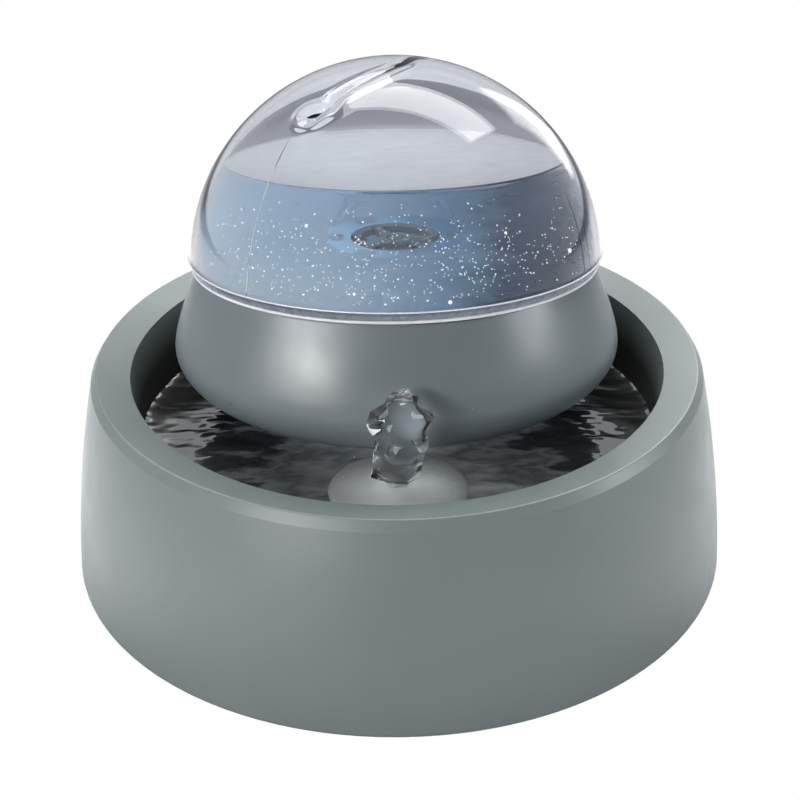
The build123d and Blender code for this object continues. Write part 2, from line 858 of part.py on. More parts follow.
spring_height = guide_bottom - head_top_of_plunger - 2 * (spring_wire_radius + fit_gap)
with BuildPart() as valve_spring:
    with BuildLine(level(head_top_of_plunger + spring_wire_radius + fit_gap, tower_axis)):
        coil = Helix(spring_height / spring_turns, spring_height, spring_coil_radius)
    with BuildSketch(Plane(origin=coil @ 0, z_dir=coil % 0)):
        Circle(spring_wire_radius)
    sweep(is_frenet=True)

# Pump: potted motor, volute, cover with the intake, impeller on a fixed shaft, and flow dial.
with BuildPart() as pump_housing:
    revolve(section(ring(0, pump_radius, motor_bottom, motor_top), pump_axis), axis=vertical(pump_axis))
    revolve(
        section(ring(0, well_radius, well_bottom, motor_top), pump_axis),
        axis=vertical(pump_axis),
        mode=Mode.SUBTRACT,
    )
    revolve(
        section(
            ring(
                stator_inner_radius - fit_gap,
                stator_outer_radius + fit_gap,
                motor_bottom,
                motor_bottom + potting_thickness + stator_height + fit_gap,
            ),
            pump_axis,
        ),
        axis=vertical(pump_axis),
        mode=Mode.SUBTRACT,
    )

with BuildPart() as pump_stator:
    with BuildSketch(level(motor_bottom + potting_thickness, pump_axis)):
        Circle(stator_outer_radius)
        Circle(stator_outer_radius - thin_wall, mode=Mode.SUBTRACT)
        with PolarLocations((stator_outer_radius + stator_inner_radius) / 2, stator_pole_count):
            Rectangle(
                stator_outer_radius - stator_inner_radius - 2 * running_gap, stator_pole_width
            )
        Circle(stator_inner_radius + running_gap, mode=Mode.SUBTRACT)
        Circle(stator_inner_radius + stator_shoe)
        Circle(stator_inner_radius + running_gap, mode=Mode.SUBTRACT)
    extrude(amount=stator_height)

with BuildPart() as pump_potting:
    revolve(
        section(
            ring(
                stator_inner_radius,
                stator_outer_radius,
                motor_bottom,
                motor_bottom + potting_thickness - fit_gap,
            ),
            pump_axis,
        ),
        axis=vertical(pump_axis),
    )

stub_plane = Plane(origin=(outlet_x, pump_axis[1], outlet_height), x_dir=(1, 0, 0), z_dir=(0, -1, 0))
with BuildPart() as pump_volute:
    revolve(section(ring(0, pump_radius, motor_top, volute_top), pump_axis), axis=vertical(pump_axis))
    with BuildSketch(stub_plane):
        Circle(outlet_stub_radius)
    extrude(amount=pump_axis[1] - stub_front)
    revolve(
        section(ring(0, chamber_radius, chamber_bottom, volute_top), pump_axis),
        axis=vertical(pump_axis),
        mode=Mode.SUBTRACT,
    )
    revolve(
        section(ring(0, well_radius, motor_top, volute_top), pump_axis),
        axis=vertical(pump_axis),
        mode=Mode.SUBTRACT,
    )
    with BuildSketch(stub_plane):
        Circle(outlet_bore_radius)
    extrude(amount=pump_axis[1] - stub_front, mode=Mode.SUBTRACT)
    with BuildSketch(level(volute_top, pump_axis)):
        with PolarLocations(cover_screw_circle, cover_screw_count):
            Circle(cover_screw_radius + fit_gap)
    extrude(amount=-(cover_screw_length - pump_cover_thickness), mode=Mode.SUBTRACT)

with BuildPart() as pump_cover:
    with BuildSketch(level(volute_top, pump_axis)):
        Circle(pump_radius)
        Circle(intake_radius, mode=Mode.SUBTRACT)
        with PolarLocations(0, intake_arm_count):
            Rectangle(
                intake_radius + fit_gap, intake_arm_width, align=(Align.MIN, Align.CENTER)
            )
        Circle(intake_hub_radius)
        with PolarLocations(cover_screw_circle, cover_screw_count):
            Circle(cover_screw_radius + hand_gap / 2, mode=Mode.SUBTRACT)
    extrude(amount=pump_cover_thickness)
    pin_top = dial_top + hand_gap
    revolve(
        section(
            [
                (0, cover_top),
                (dial_pin_radius, cover_top),
                (dial_pin_radius, pin_top),
                (dial_pin_head_radius, pin_top),
                (dial_pin_radius, pin_top + dial_pin_head),
                (0, pin_top + dial_pin_head),
            ],
            pump_axis,
        ),
        axis=vertical(pump_axis),
    )
    with BuildSketch(level(volute_top, pump_axis)):
        Circle(bush_radius + fit_gap)
    extrude(amount=bush_height, mode=Mode.SUBTRACT)

with BuildPart() as cover_screws:
    with BuildSketch(level(cover_top, pump_axis)):
        with PolarLocations(cover_screw_circle, cover_screw_count):
            Circle(cover_screw_head_radius)
    extrude(amount=cover_screw_head_height)
    with BuildSketch(level(cover_top, pump_axis)):
        with PolarLocations(cover_screw_circle, cover_screw_count):
            Circle(cover_screw_radius)
    extrude(amount=-(cover_screw_length - hand_gap))

with BuildPart() as lower_bush:
    revolve(
        section(
            ring(shaft_radius + fit_gap, bush_radius, well_bottom, well_bottom + bush_height), pump_axis
        ),
        axis=vertical(pump_axis),
    )

with BuildPart() as upper_bush:
    revolve(
        section(
            ring(shaft_radius + fit_gap, bush_radius, volute_top, volute_top + bush_height - fit_gap),
            pump_axis,
        ),
        axis=vertical(pump_axis),
    )

with BuildPart() as impeller_shaft:
    with BuildSketch(level(well_bottom, pump_axis)):
        Circle(shaft_radius)
    extrude(amount=volute_top + bush_height - fit_gap - well_bottom)

magnet_bottom = well_bottom + bush_height + hand_gap
disc_bottom = chamber_bottom + hand_gap
with BuildPart() as rotor_magnet:
    revolve(
        section(
            ring(magnet_bore_radius, magnet_radius, magnet_bottom, magnet_bottom + magnet_height), pump_axis
        ),
        axis=vertical(pump_axis),
    )

with BuildPart() as impeller:
    revolve(
        section(
            [
                (shaft_radius + running_gap, magnet_bottom),
                (magnet_bore_radius - fit_gap, magnet_bottom),
                (magnet_bore_radius - fit_gap, disc_bottom),
                (impeller_radius, disc_bottom),
                (impeller_radius, disc_bottom + impeller_disc),
                (impeller_hub_radius, disc_bottom + impeller_disc),
                (impeller_hub_radius, volute_top - hand_gap),
                (shaft_radius + running_gap, volute_top - hand_gap),
            ],
            pump_axis,
        ),
        axis=vertical(pump_axis),
    )
    with BuildSketch(level(disc_bottom + impeller_disc, pump_axis)):
        with PolarLocations(0, vane_count):
            with Locations((impeller_hub_radius - fit_gap, 0)):
                Rectangle(
                    impeller_radius - impeller_hub_radius,
                    vane_thickness,
                    align=(Align.MIN, Align.CENTER),
                )
    extrude(amount=vane_height)

with BuildPart() as flow_dial:
    with BuildSketch(level(dial_bottom, pump_axis)):
        Circle(dial_radius)
        with PolarLocations(dial_radius, 1, start_angle=dial_tab_bearing):
            Rectangle(2 * dial_tab_length, dial_tab_width)
        Circle(intake_radius, mode=Mode.SUBTRACT)
        with PolarLocations(0, intake_arm_count):
            Rectangle(
                intake_radius + fit_gap, 2 * intake_arm_width, align=(Align.MIN, Align.CENTER)
            )
        Circle(intake_hub_radius)
        Circle(dial_pin_radius + running_gap, mode=Mode.SUBTRACT)
    extrude(amount=dial_thickness)


def pump_foot(degrees):
    place = (
        pump_axis[0] + pump_foot_circle * math.cos(math.radians(degrees)),
        pump_axis[1] + pump_foot_circle * math.sin(math.radians(degrees)),
    )
    with BuildPart() as foot:
        top = round_mark(trough_floor, pump_foot_radius, place)
        extrude(top, amount=pump_foot_height, taper=pump_foot_taper)
    return foot


# Outlet tube from the pump to the stem, and the fountain head on the stem.
with BuildPart() as outlet_tube:
    tube_rear = stub_front + outlet_stub_length - hand_gap
    tube_front = stem_y + stem_shoulder_radius + head_wall + 2 * hand_gap
    with BuildSketch(Plane(origin=(outlet_x, tube_rear, outlet_height), x_dir=(1, 0, 0), z_dir=(0, -1, 0))):
        Circle(tube_outer_radius)
        Circle(outlet_stub_radius + fit_gap, mode=Mode.SUBTRACT)
    extrude(amount=tube_rear - tube_front)

with BuildPart() as fountain_stem:
    shoulder_top = stem_top - stem_shoulder_drop
    revolve(
        section(
            [
                (0, trough_floor),
                (stem_foot_radius, trough_floor),
                (stem_foot_radius, trough_floor + stem_foot_thickness),
                (stem_radius, trough_floor + 2 * stem_foot_thickness),
                (stem_radius, shoulder_top - stem_foot_thickness),
                (stem_shoulder_radius, shoulder_top),
                (stem_radius, shoulder_top),
                (stem_radius, stem_top),
                (0, stem_top),
            ],
            stem_axis,
        ),
        axis=vertical(stem_axis),
    )
    with BuildSketch(Plane(origin=(outlet_x, stem_y, outlet_height), x_dir=(-1, 0, 0), z_dir=(0, 1, 0))):
        Circle(outlet_stub_radius)
    extrude(amount=stem_radius + stem_stub_length)
    with BuildSketch(level(stem_top, stem_axis)):
        Circle(stem_bore_radius)
    extrude(amount=-(stem_top - outlet_height + outlet_bore_radius + stem_sump), mode=Mode.SUBTRACT)
    with BuildSketch(Plane(origin=(outlet_x, stem_y, outlet_height), x_dir=(-1, 0, 0), z_dir=(0, 1, 0))):
        Circle(outlet_bore_radius)
    extrude(amount=stem_radius + stem_stub_length, mode=Mode.SUBTRACT)

with BuildPart() as stem_seal:
    revolve(
        section(
            ring(
                stem_radius + fit_gap,
                stem_shoulder_radius,
                shoulder_top,
                shoulder_top + stem_seal_thickness,
            ),
            stem_axis,
        ),
        axis=vertical(stem_axis),
    )

with BuildPart() as fountain_head:
    with BuildSketch(upright(stem_axis)):
        with BuildLine():
            Spline(
                (jet_countersink_radius, head_top),
                *[(share * head_radius, head_top - drop) for share, drop in head_crown],
                (head_radius, head_widest),
                tangents=[head_crown_slope, (0, -1)],
            )
            Spline(
                (head_radius, head_widest),
                (head_radius - head_lip_inset, head_bottom),
                tangents=[(0, -1), head_lip_slope],
            )
            Polyline(
                (head_radius - head_lip_inset, head_bottom),
                (head_radius - head_lip, head_bottom),
                (head_radius - head_lip, head_widest),
                (head_hollow_radius, stem_top - head_hollow_drop),
                (stem_shoulder_radius + head_wall, stem_top),
                (stem_shoulder_radius + head_wall, shoulder_top + stem_seal_thickness + hand_gap),
                (stem_radius + hand_gap, shoulder_top + stem_seal_thickness + hand_gap),
                (stem_radius + hand_gap, stem_top + hand_gap),
                (jet_radius, stem_top + hand_gap),
                (jet_radius, head_top - head_wall / 2),
                (jet_countersink_radius, head_top),
            )
        make_face()
    revolve(axis=vertical(stem_axis))

# Ring filter: a plastic frame with a foam and carbon pad, notched for the outlet tube.
filter_bottom = trough_floor + filter_floor_gap
notch_top = outlet_height + notch_half
pad_bottom = filter_bottom + filter_ring_thickness + pad_gap
pad_top = filter_top - filter_ring_thickness - pad_gap
pad_outer_radius = filter_outer_radius - thin_wall - pad_gap
with BuildPart() as filter_frame:
    for bottom in (filter_bottom, filter_top - filter_ring_thickness):
        revolve(
            section(
                ring(filter_inner_radius, filter_outer_radius, bottom, bottom + filter_ring_thickness),
                tower_axis,
            ),
            axis=vertical(tower_axis),
        )
    with BuildSketch(level(filter_bottom, tower_axis)):
        with PolarLocations(
            filter_outer_radius - thin_wall / 2, filter_rib_count, start_angle=180 / filter_rib_count
        ):
            Rectangle(thin_wall - filter_lip / 2, filter_rib_width)
    extrude(amount=filter_top - filter_bottom)
    with BuildSketch(Plane.XZ.offset(-tower_y)):
        with Locations((outlet_x, (notch_top + filter_bottom) / 2)):
            Rectangle(2 * notch_half, notch_top - filter_bottom)
    extrude(amount=filter_outer_radius + filter_lip, mode=Mode.SUBTRACT)

with BuildPart() as filter_pad:
    revolve(
        section(ring(filter_inner_radius + filter_lip, pad_outer_radius, pad_bottom, pad_top), tower_axis),
        axis=vertical(tower_axis),
    )
    with BuildSketch(Plane.XZ.offset(-tower_y)):
        with Locations((outlet_x, (notch_top + filter_bottom) / 2)):
            Rectangle(2 * notch_half + 2 * pad_gap, notch_top - filter_bottom)
    extrude(amount=filter_outer_radius + filter_lip, mode=Mode.SUBTRACT)

pieces = {
    "bowl_shell": bowl_shell,
    "base_plate": base_plate,
    "base_screws": base_screws,
    "jack_body": jack_body,
    "jack_nut": jack_nut,
    "jack_pin": jack_pin,
    "lead_grommet": lead_grommet,
    "pump_lead": pump_lead,
    "tower_shell": tower_shell,
    "reservoir_seat": reservoir_seat,
    "seat_screws": seat_screws,
    "socket_gasket": socket_gasket,
    "reservoir_dome": reservoir_dome,
    "reservoir_floor": reservoir_floor,
    "strainer_cage": strainer_cage,
    "valve_guide": valve_guide,
    "reservoir_cap": reservoir_cap,
    "cap_gasket": cap_gasket,
    "valve_plunger": valve_plunger,
    "valve_seal": valve_seal,
    "valve_spring": valve_spring,
    "pump_housing": pump_housing,
    "pump_stator": pump_stator,
    "pump_potting": pump_potting,
    "pump_volute": pump_volute,
    "pump_cover": pump_cover,
    "cover_screws": cover_screws,
    "lower_bush": lower_bush,
    "upper_bush": upper_bush,
    "impeller_shaft": impeller_shaft,
    "rotor_magnet": rotor_magnet,
    "impeller": impeller,
    "flow_dial": flow_dial,
    "outlet_tube": outlet_tube,
    "fountain_stem": fountain_stem,
    "stem_seal": stem_seal,
    "fountain_head": fountain_head,
    "filter_frame": filter_frame,
    "filter_pad": filter_pad,
}
for index, corner in enumerate(["rear_right", "rear_left", "front_left", "front_right"]):
    pieces[f"rubber_foot_{corner}"] = rubber_foot(corner_bearing + index * 360 / corner_count)
for index in range(pump_foot_count):
    pieces[f"pump_foot_{index + 1}"] = pump_foot(pump_foot_bearing + index * 360 / pump_foot_count)

os.makedirs("parts", exist_ok=True)
for name, piece in pieces.items():
    piece.part.label = name
    export_step(piece.part, f"parts/{name}.step")
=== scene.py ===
import json
import math
import random

import bmesh
import bpy
import numpy as np
from mathutils import Matrix, Vector, noise


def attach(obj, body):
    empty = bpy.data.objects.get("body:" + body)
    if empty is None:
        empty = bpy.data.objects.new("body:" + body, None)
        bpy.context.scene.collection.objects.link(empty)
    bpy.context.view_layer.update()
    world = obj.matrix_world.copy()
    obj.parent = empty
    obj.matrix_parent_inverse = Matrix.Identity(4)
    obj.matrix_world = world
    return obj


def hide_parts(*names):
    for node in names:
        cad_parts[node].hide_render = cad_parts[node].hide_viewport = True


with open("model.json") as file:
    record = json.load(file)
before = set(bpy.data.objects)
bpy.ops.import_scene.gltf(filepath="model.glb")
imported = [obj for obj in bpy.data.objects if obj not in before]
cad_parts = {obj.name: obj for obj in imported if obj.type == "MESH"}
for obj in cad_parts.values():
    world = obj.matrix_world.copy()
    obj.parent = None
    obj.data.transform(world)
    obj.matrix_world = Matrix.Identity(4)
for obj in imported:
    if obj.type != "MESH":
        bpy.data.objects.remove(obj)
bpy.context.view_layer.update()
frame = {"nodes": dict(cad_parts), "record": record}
nodes = frame["nodes"]
scene = bpy.context.scene
scene.view_settings.view_transform = "Standard"

# Sizes in metres, the same as the CAD model's.
TOWER = (0.0, 0.008)            # the tower's and the tank's axis
STEM = (0.0, -0.066)            # the fountain head's axis
RIM_TILT = math.radians(5.9)
RIM_MIDDLE = 0.0745             # height of the trough's edge half way back
TROUGH_FLOOR = 0.0200
TROUGH_HEIGHT = 0.0569          # from the trough's floor to the rim, for its draft
TROUGH_R = 0.0970               # at the floor
TROUGH_DRAFT = 0.0048           # wider at the rim
TROUGH_INNER = 0.0464           # where the water meets the tower
DOME_R = 0.0783
DOME_WALL = 0.0025
DOME_Z = 0.1033                 # centre of the dome's sphere
DOME_FOOT = 0.1104
FLANGE_TOP = 0.1143
TANK_FLOOR = 0.1135
NECK_R = 0.01295                # inside the tank's neck
NECK_LOW = TANK_FLOOR - 0.0155  # foot of the water in the neck

# Water levels.
TANK_WATER = 0.1472
WATER = 0.0500


# Camera: a pinhole of 900 pixels' focal length for a picture 800 pixels wide ---------------------
FOCAL_PIXELS, PICTURE_PIXELS, MIDDLE_PIXEL = 900, 800, 397.316
CAMERA_DISTANCE = 0.364757
AIM = (0, 0, 0.051392)
elevation, roll = 0.449446536, -0.01358844
forward = Vector((0, math.cos(elevation), -math.sin(elevation)))
right0 = Vector((1, 0, 0))
up0 = Vector((0, math.sin(elevation), math.cos(elevation)))
right = math.cos(roll) * right0 + math.sin(roll) * up0
up = math.cos(roll) * up0 - math.sin(roll) * right0
spot = Vector(AIM) - CAMERA_DISTANCE * forward
camera = bpy.data.objects.new("camera", bpy.data.cameras.new("camera"))
camera.data.sensor_width = 36.0
camera.data.lens = camera.data.sensor_width * FOCAL_PIXELS / PICTURE_PIXELS
camera.data.shift_x = (PICTURE_PIXELS / 2 - MIDDLE_PIXEL) / PICTURE_PIXELS
camera.data.clip_start, camera.data.clip_end = 0.01, 20
turn = Matrix((right, up, -forward)).transposed().to_4x4()
camera.matrix_world = Matrix.Translation(spot) @ turn
scene.collection.objects.link(camera)
scene.camera = camera


# Materials ---------------------------------------------------------------------------------------
def srgb(*values):
    return tuple(
        (v / 255 / 12.92) if v / 255 <= 0.04045 else ((v / 255 + 0.055) / 1.055) ** 2.4 for v in values
    )


class Tree:
    """A material's node tree, with short calls for the nodes used here."""

    def __init__(self, name, material=None):
        self.material = material or bpy.data.materials.new(name)
        self.material.use_nodes = True
        self.nodes = self.material.node_tree.nodes
        self.links = self.material.node_tree.links
        self.shader = self.nodes["Principled BSDF"]
        self.output = self.nodes["Material Output"]

    def add(self, kind, **settings):
        node = self.nodes.new(kind)
        for key, value in settings.items():
            setattr(node, key, value)
        return node

    def join(self, source, target):
        self.links.new(source, target)

    def place(self, scale=(1, 1, 1)):
        coordinate = self.add("ShaderNodeTexCoord")
        mapping = self.add("ShaderNodeMapping")
        mapping.inputs["Scale"].default_value = scale
        self.join(coordinate.outputs["Object"], mapping.inputs["Vector"])
        return mapping.outputs["Vector"]

    def noise(self, scale, detail=3.0, roughness=0.5, stretch=(1, 1, 1)):
        node = self.add("ShaderNodeTexNoise")
        node.inputs["Scale"].default_value = scale
        node.inputs["Detail"].default_value = detail
        node.inputs["Roughness"].default_value = roughness
        self.join(self.place(stretch), node.inputs["Vector"])
        return node.outputs["Fac"]

    def ramp(self, source, stops):
        node = self.add("ShaderNodeValToRGB")
        elements = node.color_ramp.elements
        while len(elements) < len(stops):
            elements.new(0.5)
        for element, (position, colour) in zip(elements, stops):
            element.position = position
            element.color = (*colour, 1) if len(colour) == 3 else colour
        self.join(source, node.inputs["Fac"])
        return node.outputs["Color"]

    def span(self, source, low, high, start=0.3, end=0.7):
        node = self.add("ShaderNodeMapRange")
        node.inputs["From Min"].default_value = start
        node.inputs["From Max"].default_value = end
        node.inputs["To Min"].default_value = low
        node.inputs["To Max"].default_value = high
        self.join(source, node.inputs["Value"])
        return node.outputs["Result"]

    def bump(self, source, height, strength=1.0, normal=None):
        node = self.add("ShaderNodeBump")
        node.inputs["Strength"].default_value = strength
        node.inputs["Distance"].default_value = height
        self.join(source, node.inputs["Height"])
        if normal is not None:
            self.join(normal, node.inputs["Normal"])
        return node.outputs["Normal"]

    def times(self, first, second):
        node = self.add("ShaderNodeMath", operation="MULTIPLY")
        self.join(first, node.inputs[0])
        self.join(second, node.inputs[1])
        return node.outputs["Value"]

    def scaled_sum(self, source, factor, other):
        """The source times a factor, plus another value."""
        node = self.add("ShaderNodeMath", operation="MULTIPLY_ADD")
        self.join(source, node.inputs[0])
        node.inputs[1].default_value = factor
        self.join(other, node.inputs[2])
        return node.outputs["Value"]

    def paint(self, source, stops, *sockets):
        """Colours the shader by a ramp: its base colour, or the sockets named."""
        colour = self.ramp(source, stops)
        for socket in sockets or ("Base Color",):
            self.join(colour, self.shader.inputs[socket])

    def set(self, **values):
        for key, value in values.items():
            self.shader.inputs[key.replace("_", " ")].default_value = value


def tone(colour, factor):
    return tuple(min(1.0, c * factor) for c in colour)


def moulded(name, colour, rough, spread=0.04, grain=2600.0, grain_height=0.00003):
    """Moulded plastic: faint blotches of tone and gloss over a fine moulded grain."""
    t = Tree(name)
    blotch = t.noise(22.0, 4.0, 0.55)
    t.paint(blotch, [(0.25, tone(colour, 1 - spread)), (0.75, tone(colour, 1 + spread))])
    t.join(t.span(t.noise(60.0, 3.0), rough * 0.88, rough * 1.12), t.shader.inputs["Roughness"])
    fine = t.bump(t.noise(grain, 2.0, 0.6), grain_height, 0.35)
    t.join(t.bump(t.noise(45.0, 2.0), 0.0001, 0.12, fine), t.shader.inputs["Normal"])
    return t.material


def metal(name, colour, rough, stretch=(1, 1, 12)):
    """Drawn or turned metal, with fine streaks."""
    t = Tree(name)
    streak = t.noise(300.0, 4.0, 0.6, stretch)
    t.paint(streak, [(0.3, tone(colour, 0.85)), (0.7, tone(colour, 1.1))])
    t.join(t.span(streak, rough * 0.7, rough * 1.4), t.shader.inputs["Roughness"])
    t.join(t.bump(streak, 0.00003, 0.3), t.shader.inputs["Normal"])
    t.set(Metallic=1.0)
    return t.material


def clear(name, colour, rough=0.02, ior=1.46, height=0.00005, scale=60.0):
    """Clear plastic with a faint wave in its skin."""
    t = Tree(name)
    wave = t.noise(scale, 2.0, 0.4)
    t.paint(wave, [(0.3, tone(colour, 0.97)), (0.7, tone(colour, 1.02))])
    t.join(t.span(t.noise(90.0), rough * 0.7, rough * 1.3), t.shader.inputs["Roughness"])
    t.join(t.bump(wave, height, 0.5), t.shader.inputs["Normal"])
    t.set(Transmission_Weight=1.0, IOR=ior)
    return t.material


GREY = srgb(108, 116, 116)


def bowl_material():
    """The bowl's moulded grey, with painted shade in the trough: nearly black and duller from its floor up to
    its rim.
    """
    material = moulded("bowl_plastic", GREY, 0.36)
    t = Tree("bowl_plastic", material)
    parts = t.add("ShaderNodeSeparateXYZ")
    t.join(t.place(), parts.inputs["Vector"])
    from_axis = t.add("ShaderNodeVectorMath", operation="LENGTH")
    t.join(t.place((1, 1, 0)), from_axis.inputs[0])
    inside = t.span(from_axis.outputs["Value"], 1.0, 0.0, 0.1015, 0.1030)
    upright = t.scaled_sum(parts.outputs["Y"], -math.tan(RIM_TILT), parts.outputs["Z"])
    below = t.span(upright, 1.0, 0.0, 0.060, RIM_MIDDLE)
    above_floor = t.span(parts.outputs["Z"], 0.0, 1.0, 0.0185, 0.0195)
    # Painted shade: the trough's floor and inner wall are made nearly black, fading out towards the rim.
    trough_shade = t.times(t.times(inside, below), above_floor)
    for socket, factor in (("Base Color", 0.04), ("Roughness", 2.2)):
        source = t.shader.inputs[socket].links[0].from_socket
        kind = "RGBA" if socket == "Base Color" else "FLOAT"
        mix = t.add("ShaderNodeMix", data_type=kind, blend_type="MIX")
        slots = (6, 7, 2) if socket == "Base Color" else (2, 3, 0)
        scaled = t.add("ShaderNodeVectorMath", operation="SCALE")
        scaled.inputs["Scale"].default_value = factor
        t.join(source, scaled.inputs[0])
        t.join(source, mix.inputs[slots[0]])
        t.join(scaled.outputs["Vector"], mix.inputs[slots[1]])
        t.join(trough_shade, mix.inputs[0])
        t.join(mix.outputs[slots[2]], t.shader.inputs[socket])
    return material


bowl_grey = bowl_material()
tower_grey = moulded("tower_plastic", srgb(101, 109, 112), 0.36)
inner_grey = moulded("inner_plastic", srgb(120, 124, 126), 0.42)
white_plastic = moulded("white_plastic", srgb(226, 228, 228), 0.35)
black_plastic = moulded("black_plastic", srgb(34, 35, 37), 0.38)
head_grey = moulded("head_plastic", srgb(212, 217, 216), 0.16, grain=260.0, grain_height=0.0009)
rubber = moulded("soft_rubber", srgb(52, 53, 55), 0.75, grain=1400.0, grain_height=0.00008)
silicone = moulded("silicone", srgb(205, 206, 204), 0.5)
ceramic = moulded("ceramic", srgb(232, 230, 222), 0.18)
magnet = moulded("magnet", srgb(48, 48, 52), 0.45, spread=0.12)
resin = moulded("potting_resin", srgb(26, 26, 28), 0.22)
jacket = moulded("lead_jacket", srgb(30, 30, 32), 0.5)
steel = metal("steel", srgb(190, 192, 195), 0.25)
brass = metal("brass", srgb(214, 178, 104), 0.28)
copper = metal("copper", srgb(200, 120, 80), 0.32)
clear_plastic = clear("clear_plastic", (0.93, 0.95, 0.98), 0.03)


def foam_material():
    """Dark open foam."""
    t = Tree("foam")
    cells = t.add("ShaderNodeTexVoronoi")
    cells.inputs["Scale"].default_value = 900.0
    t.join(t.place(), cells.inputs["Vector"])
    dark, light = srgb(24, 25, 27), srgb(70, 72, 75)
    t.paint(cells.outputs["Distance"], [(0.1, dark), (0.8, light)])
    t.join(t.bump(cells.outputs["Distance"], 0.0006, 0.9), t.shader.inputs["Normal"])
    t.set(Roughness=0.92)
    return t.material


foam = foam_material()
SLOTS = {
    "bowl_plastic": bowl_grey, "tower_plastic": tower_grey, "inner_plastic": inner_grey,
    "clear_plastic": clear_plastic, "white_plastic": white_plastic, "black_plastic": black_plastic,
    "head_plastic": head_grey, "soft_rubber": rubber, "silicone": silicone, "steel": steel,
    "brass": brass, "ceramic": ceramic, "magnet": magnet, "copper": copper, "potting_resin": resin,
    "foam": foam, "lead_jacket": jacket,
}
for subpart in frame["record"]["subparts"]:
    mesh = nodes[subpart["node"]].data
    mesh.materials.clear()
    mesh.materials.append(SLOTS[subpart["material_slot"]])


def tank_floor_material():
    """Frosted, faintly blue plastic, with painted shade: darker to the right; its colours glow faintly, as
    painted light.
    """
    t = Tree("tank_floor_plastic")
    parts = t.add("ShaderNodeSeparateXYZ")
    t.join(t.place(), parts.inputs["Vector"])
    across = t.span(parts.outputs["X"], 0.0, 1.0, -0.07, 0.07)
    mottle_and_shade = t.scaled_sum(t.noise(38.0, 3.0), 0.25, across)
    stops = [
        (0.15, (0.74, 0.84, 0.91)), (0.54, (0.56, 0.70, 0.81)), (0.74, (0.24, 0.38, 0.52)),
        (0.86, (0.03, 0.07, 0.12)), (1.0, (0.02, 0.04, 0.07)),
    ]
    # Painted shade and painted light: the colour darkens to the right, and the floor glows in the same
    # colours.
    t.paint(mottle_and_shade, stops, "Base Color", "Emission Color")
    t.join(t.span(t.noise(90.0), 0.25, 0.4), t.shader.inputs["Roughness"])
    t.join(t.bump(t.noise(70.0, 2.0), 0.0004, 0.4), t.shader.inputs["Normal"])
    t.set(Transmission_Weight=0.1, IOR=1.15, Emission_Strength=0.27)
    return t.material


nodes["reservoir_floor"].data.materials[0] = tank_floor_material()
nodes["strainer_cage"].data.materials[0] = clear("cage_clear", (0.98, 0.99, 1.0), 0.12, 1.015)


# Meshes ------------------------------------------------------------------------------------------
def piece(name, verts, faces, material, body, smooth=True, slot=None, weld=0.0):
    mesh = bpy.data.meshes.new(name)
    mesh.from_pydata([tuple(v) for v in verts], [], faces)
    if weld:
        bm = bmesh.new()
        bm.from_mesh(mesh)
        bmesh.ops.remove_doubles(bm, verts=bm.verts, dist=weld)
        bmesh.ops.recalc_face_normals(bm, faces=bm.faces)
        bm.to_mesh(mesh)
        bm.free()
    mesh.update()
    mesh.materials.append(material)
    if smooth:
        mesh.shade_smooth()
    obj = bpy.data.objects.new(name, mesh)
    scene.collection.objects.link(obj)
    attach(obj, body)
    return obj


def grid(rows, closed_rows=False, closed_columns=True):
    """Vertices and quads of a grid of points: rows x columns x 3."""
    rows = np.asarray(rows, float)
    n, m = rows.shape[:2]
    faces = []
    for i in range(n if closed_rows else n - 1):
        for j in range(m if closed_columns else m - 1):
            a, b = i * m + j, i * m + (j + 1) % m
            c, d = ((i + 1) % n) * m + (j + 1) % m, ((i + 1) % n) * m + j
            faces.append((a, b, c, d))
    return rows.reshape(-1, 3), faces


def rounded(points, radii, steps=5):
    """A polyline of 2-D points with its inner corners rounded."""
    out = [np.array(points[0], float)]
    for i in range(1, len(points) - 1):
        p, q, r = (np.array(points[k], float) for k in (i - 1, i, i + 1))
        radius = radii[i - 1]
        if radius <= 0:
            out.append(q)
            continue
        u, v = (p - q) / np.linalg.norm(p - q), (r - q) / np.linalg.norm(r - q)
        half = math.acos(max(-1, min(1, float(u @ v)))) / 2
        cut = min(radius / math.tan(half), 0.48 * np.linalg.norm(p - q), 0.48 * np.linalg.norm(r - q))
        a, b = q + u * cut, q + v * cut
        for s in range(steps + 1):
            w = s / steps
            out.append((1 - w) ** 2 * a + 2 * w * (1 - w) * q + w**2 * b)
    out.append(np.array(points[-1], float))
    return np.array(out)


def lathe(profile, axis, segments=192):
    """Grid rows of a profile of (radius, height) turned about a vertical axis."""
    angles = np.linspace(0, 2 * math.pi, segments, endpoint=False)
    return [
        [(axis[0] + r * math.cos(a), axis[1] + r * math.sin(a), z) for a in angles] for r, z in profile
    ]


def spline(points, count):
    """Points along a smooth curve through 2-D points, with free ends."""
    p = np.array(points, float)
    t = np.concatenate([[0], np.cumsum(np.linalg.norm(np.diff(p, axis=0), axis=1))])
    h = np.diff(t)
    n = len(p)
    matrix, right_side = np.eye(n), np.zeros((n, 2))
    matrix[0, :2] = 2, 1
    matrix[-1, -2:] = 1, 2
    right_side[0] = 3 * (p[1] - p[0]) / h[0]
    right_side[-1] = 3 * (p[-1] - p[-2]) / h[-1]
    for i in range(1, n - 1):
        matrix[i, i - 1 : i + 2] = h[i], 2 * (h[i - 1] + h[i]), h[i - 1]
        right_side[i] = 3 * (h[i] * (p[i] - p[i - 1]) / h[i - 1] + h[i - 1] * (p[i + 1] - p[i]) / h[i])
    m = np.linalg.solve(matrix, right_side)
    out = []
    for u in np.linspace(0, t[-1], count):
        i = min(n - 2, int(np.searchsorted(t, u, "right")) - 1)
        w = (u - t[i]) / h[i]
        out.append(
            (2 * w**3 - 3 * w**2 + 1) * p[i] + (w**3 - 2 * w**2 + w) * h[i] * m[i]
            + (3 * w**2 - 2 * w**3) * p[i + 1] + (w**3 - w**2) * h[i] * m[i + 1]
        )
    return np.array(out)


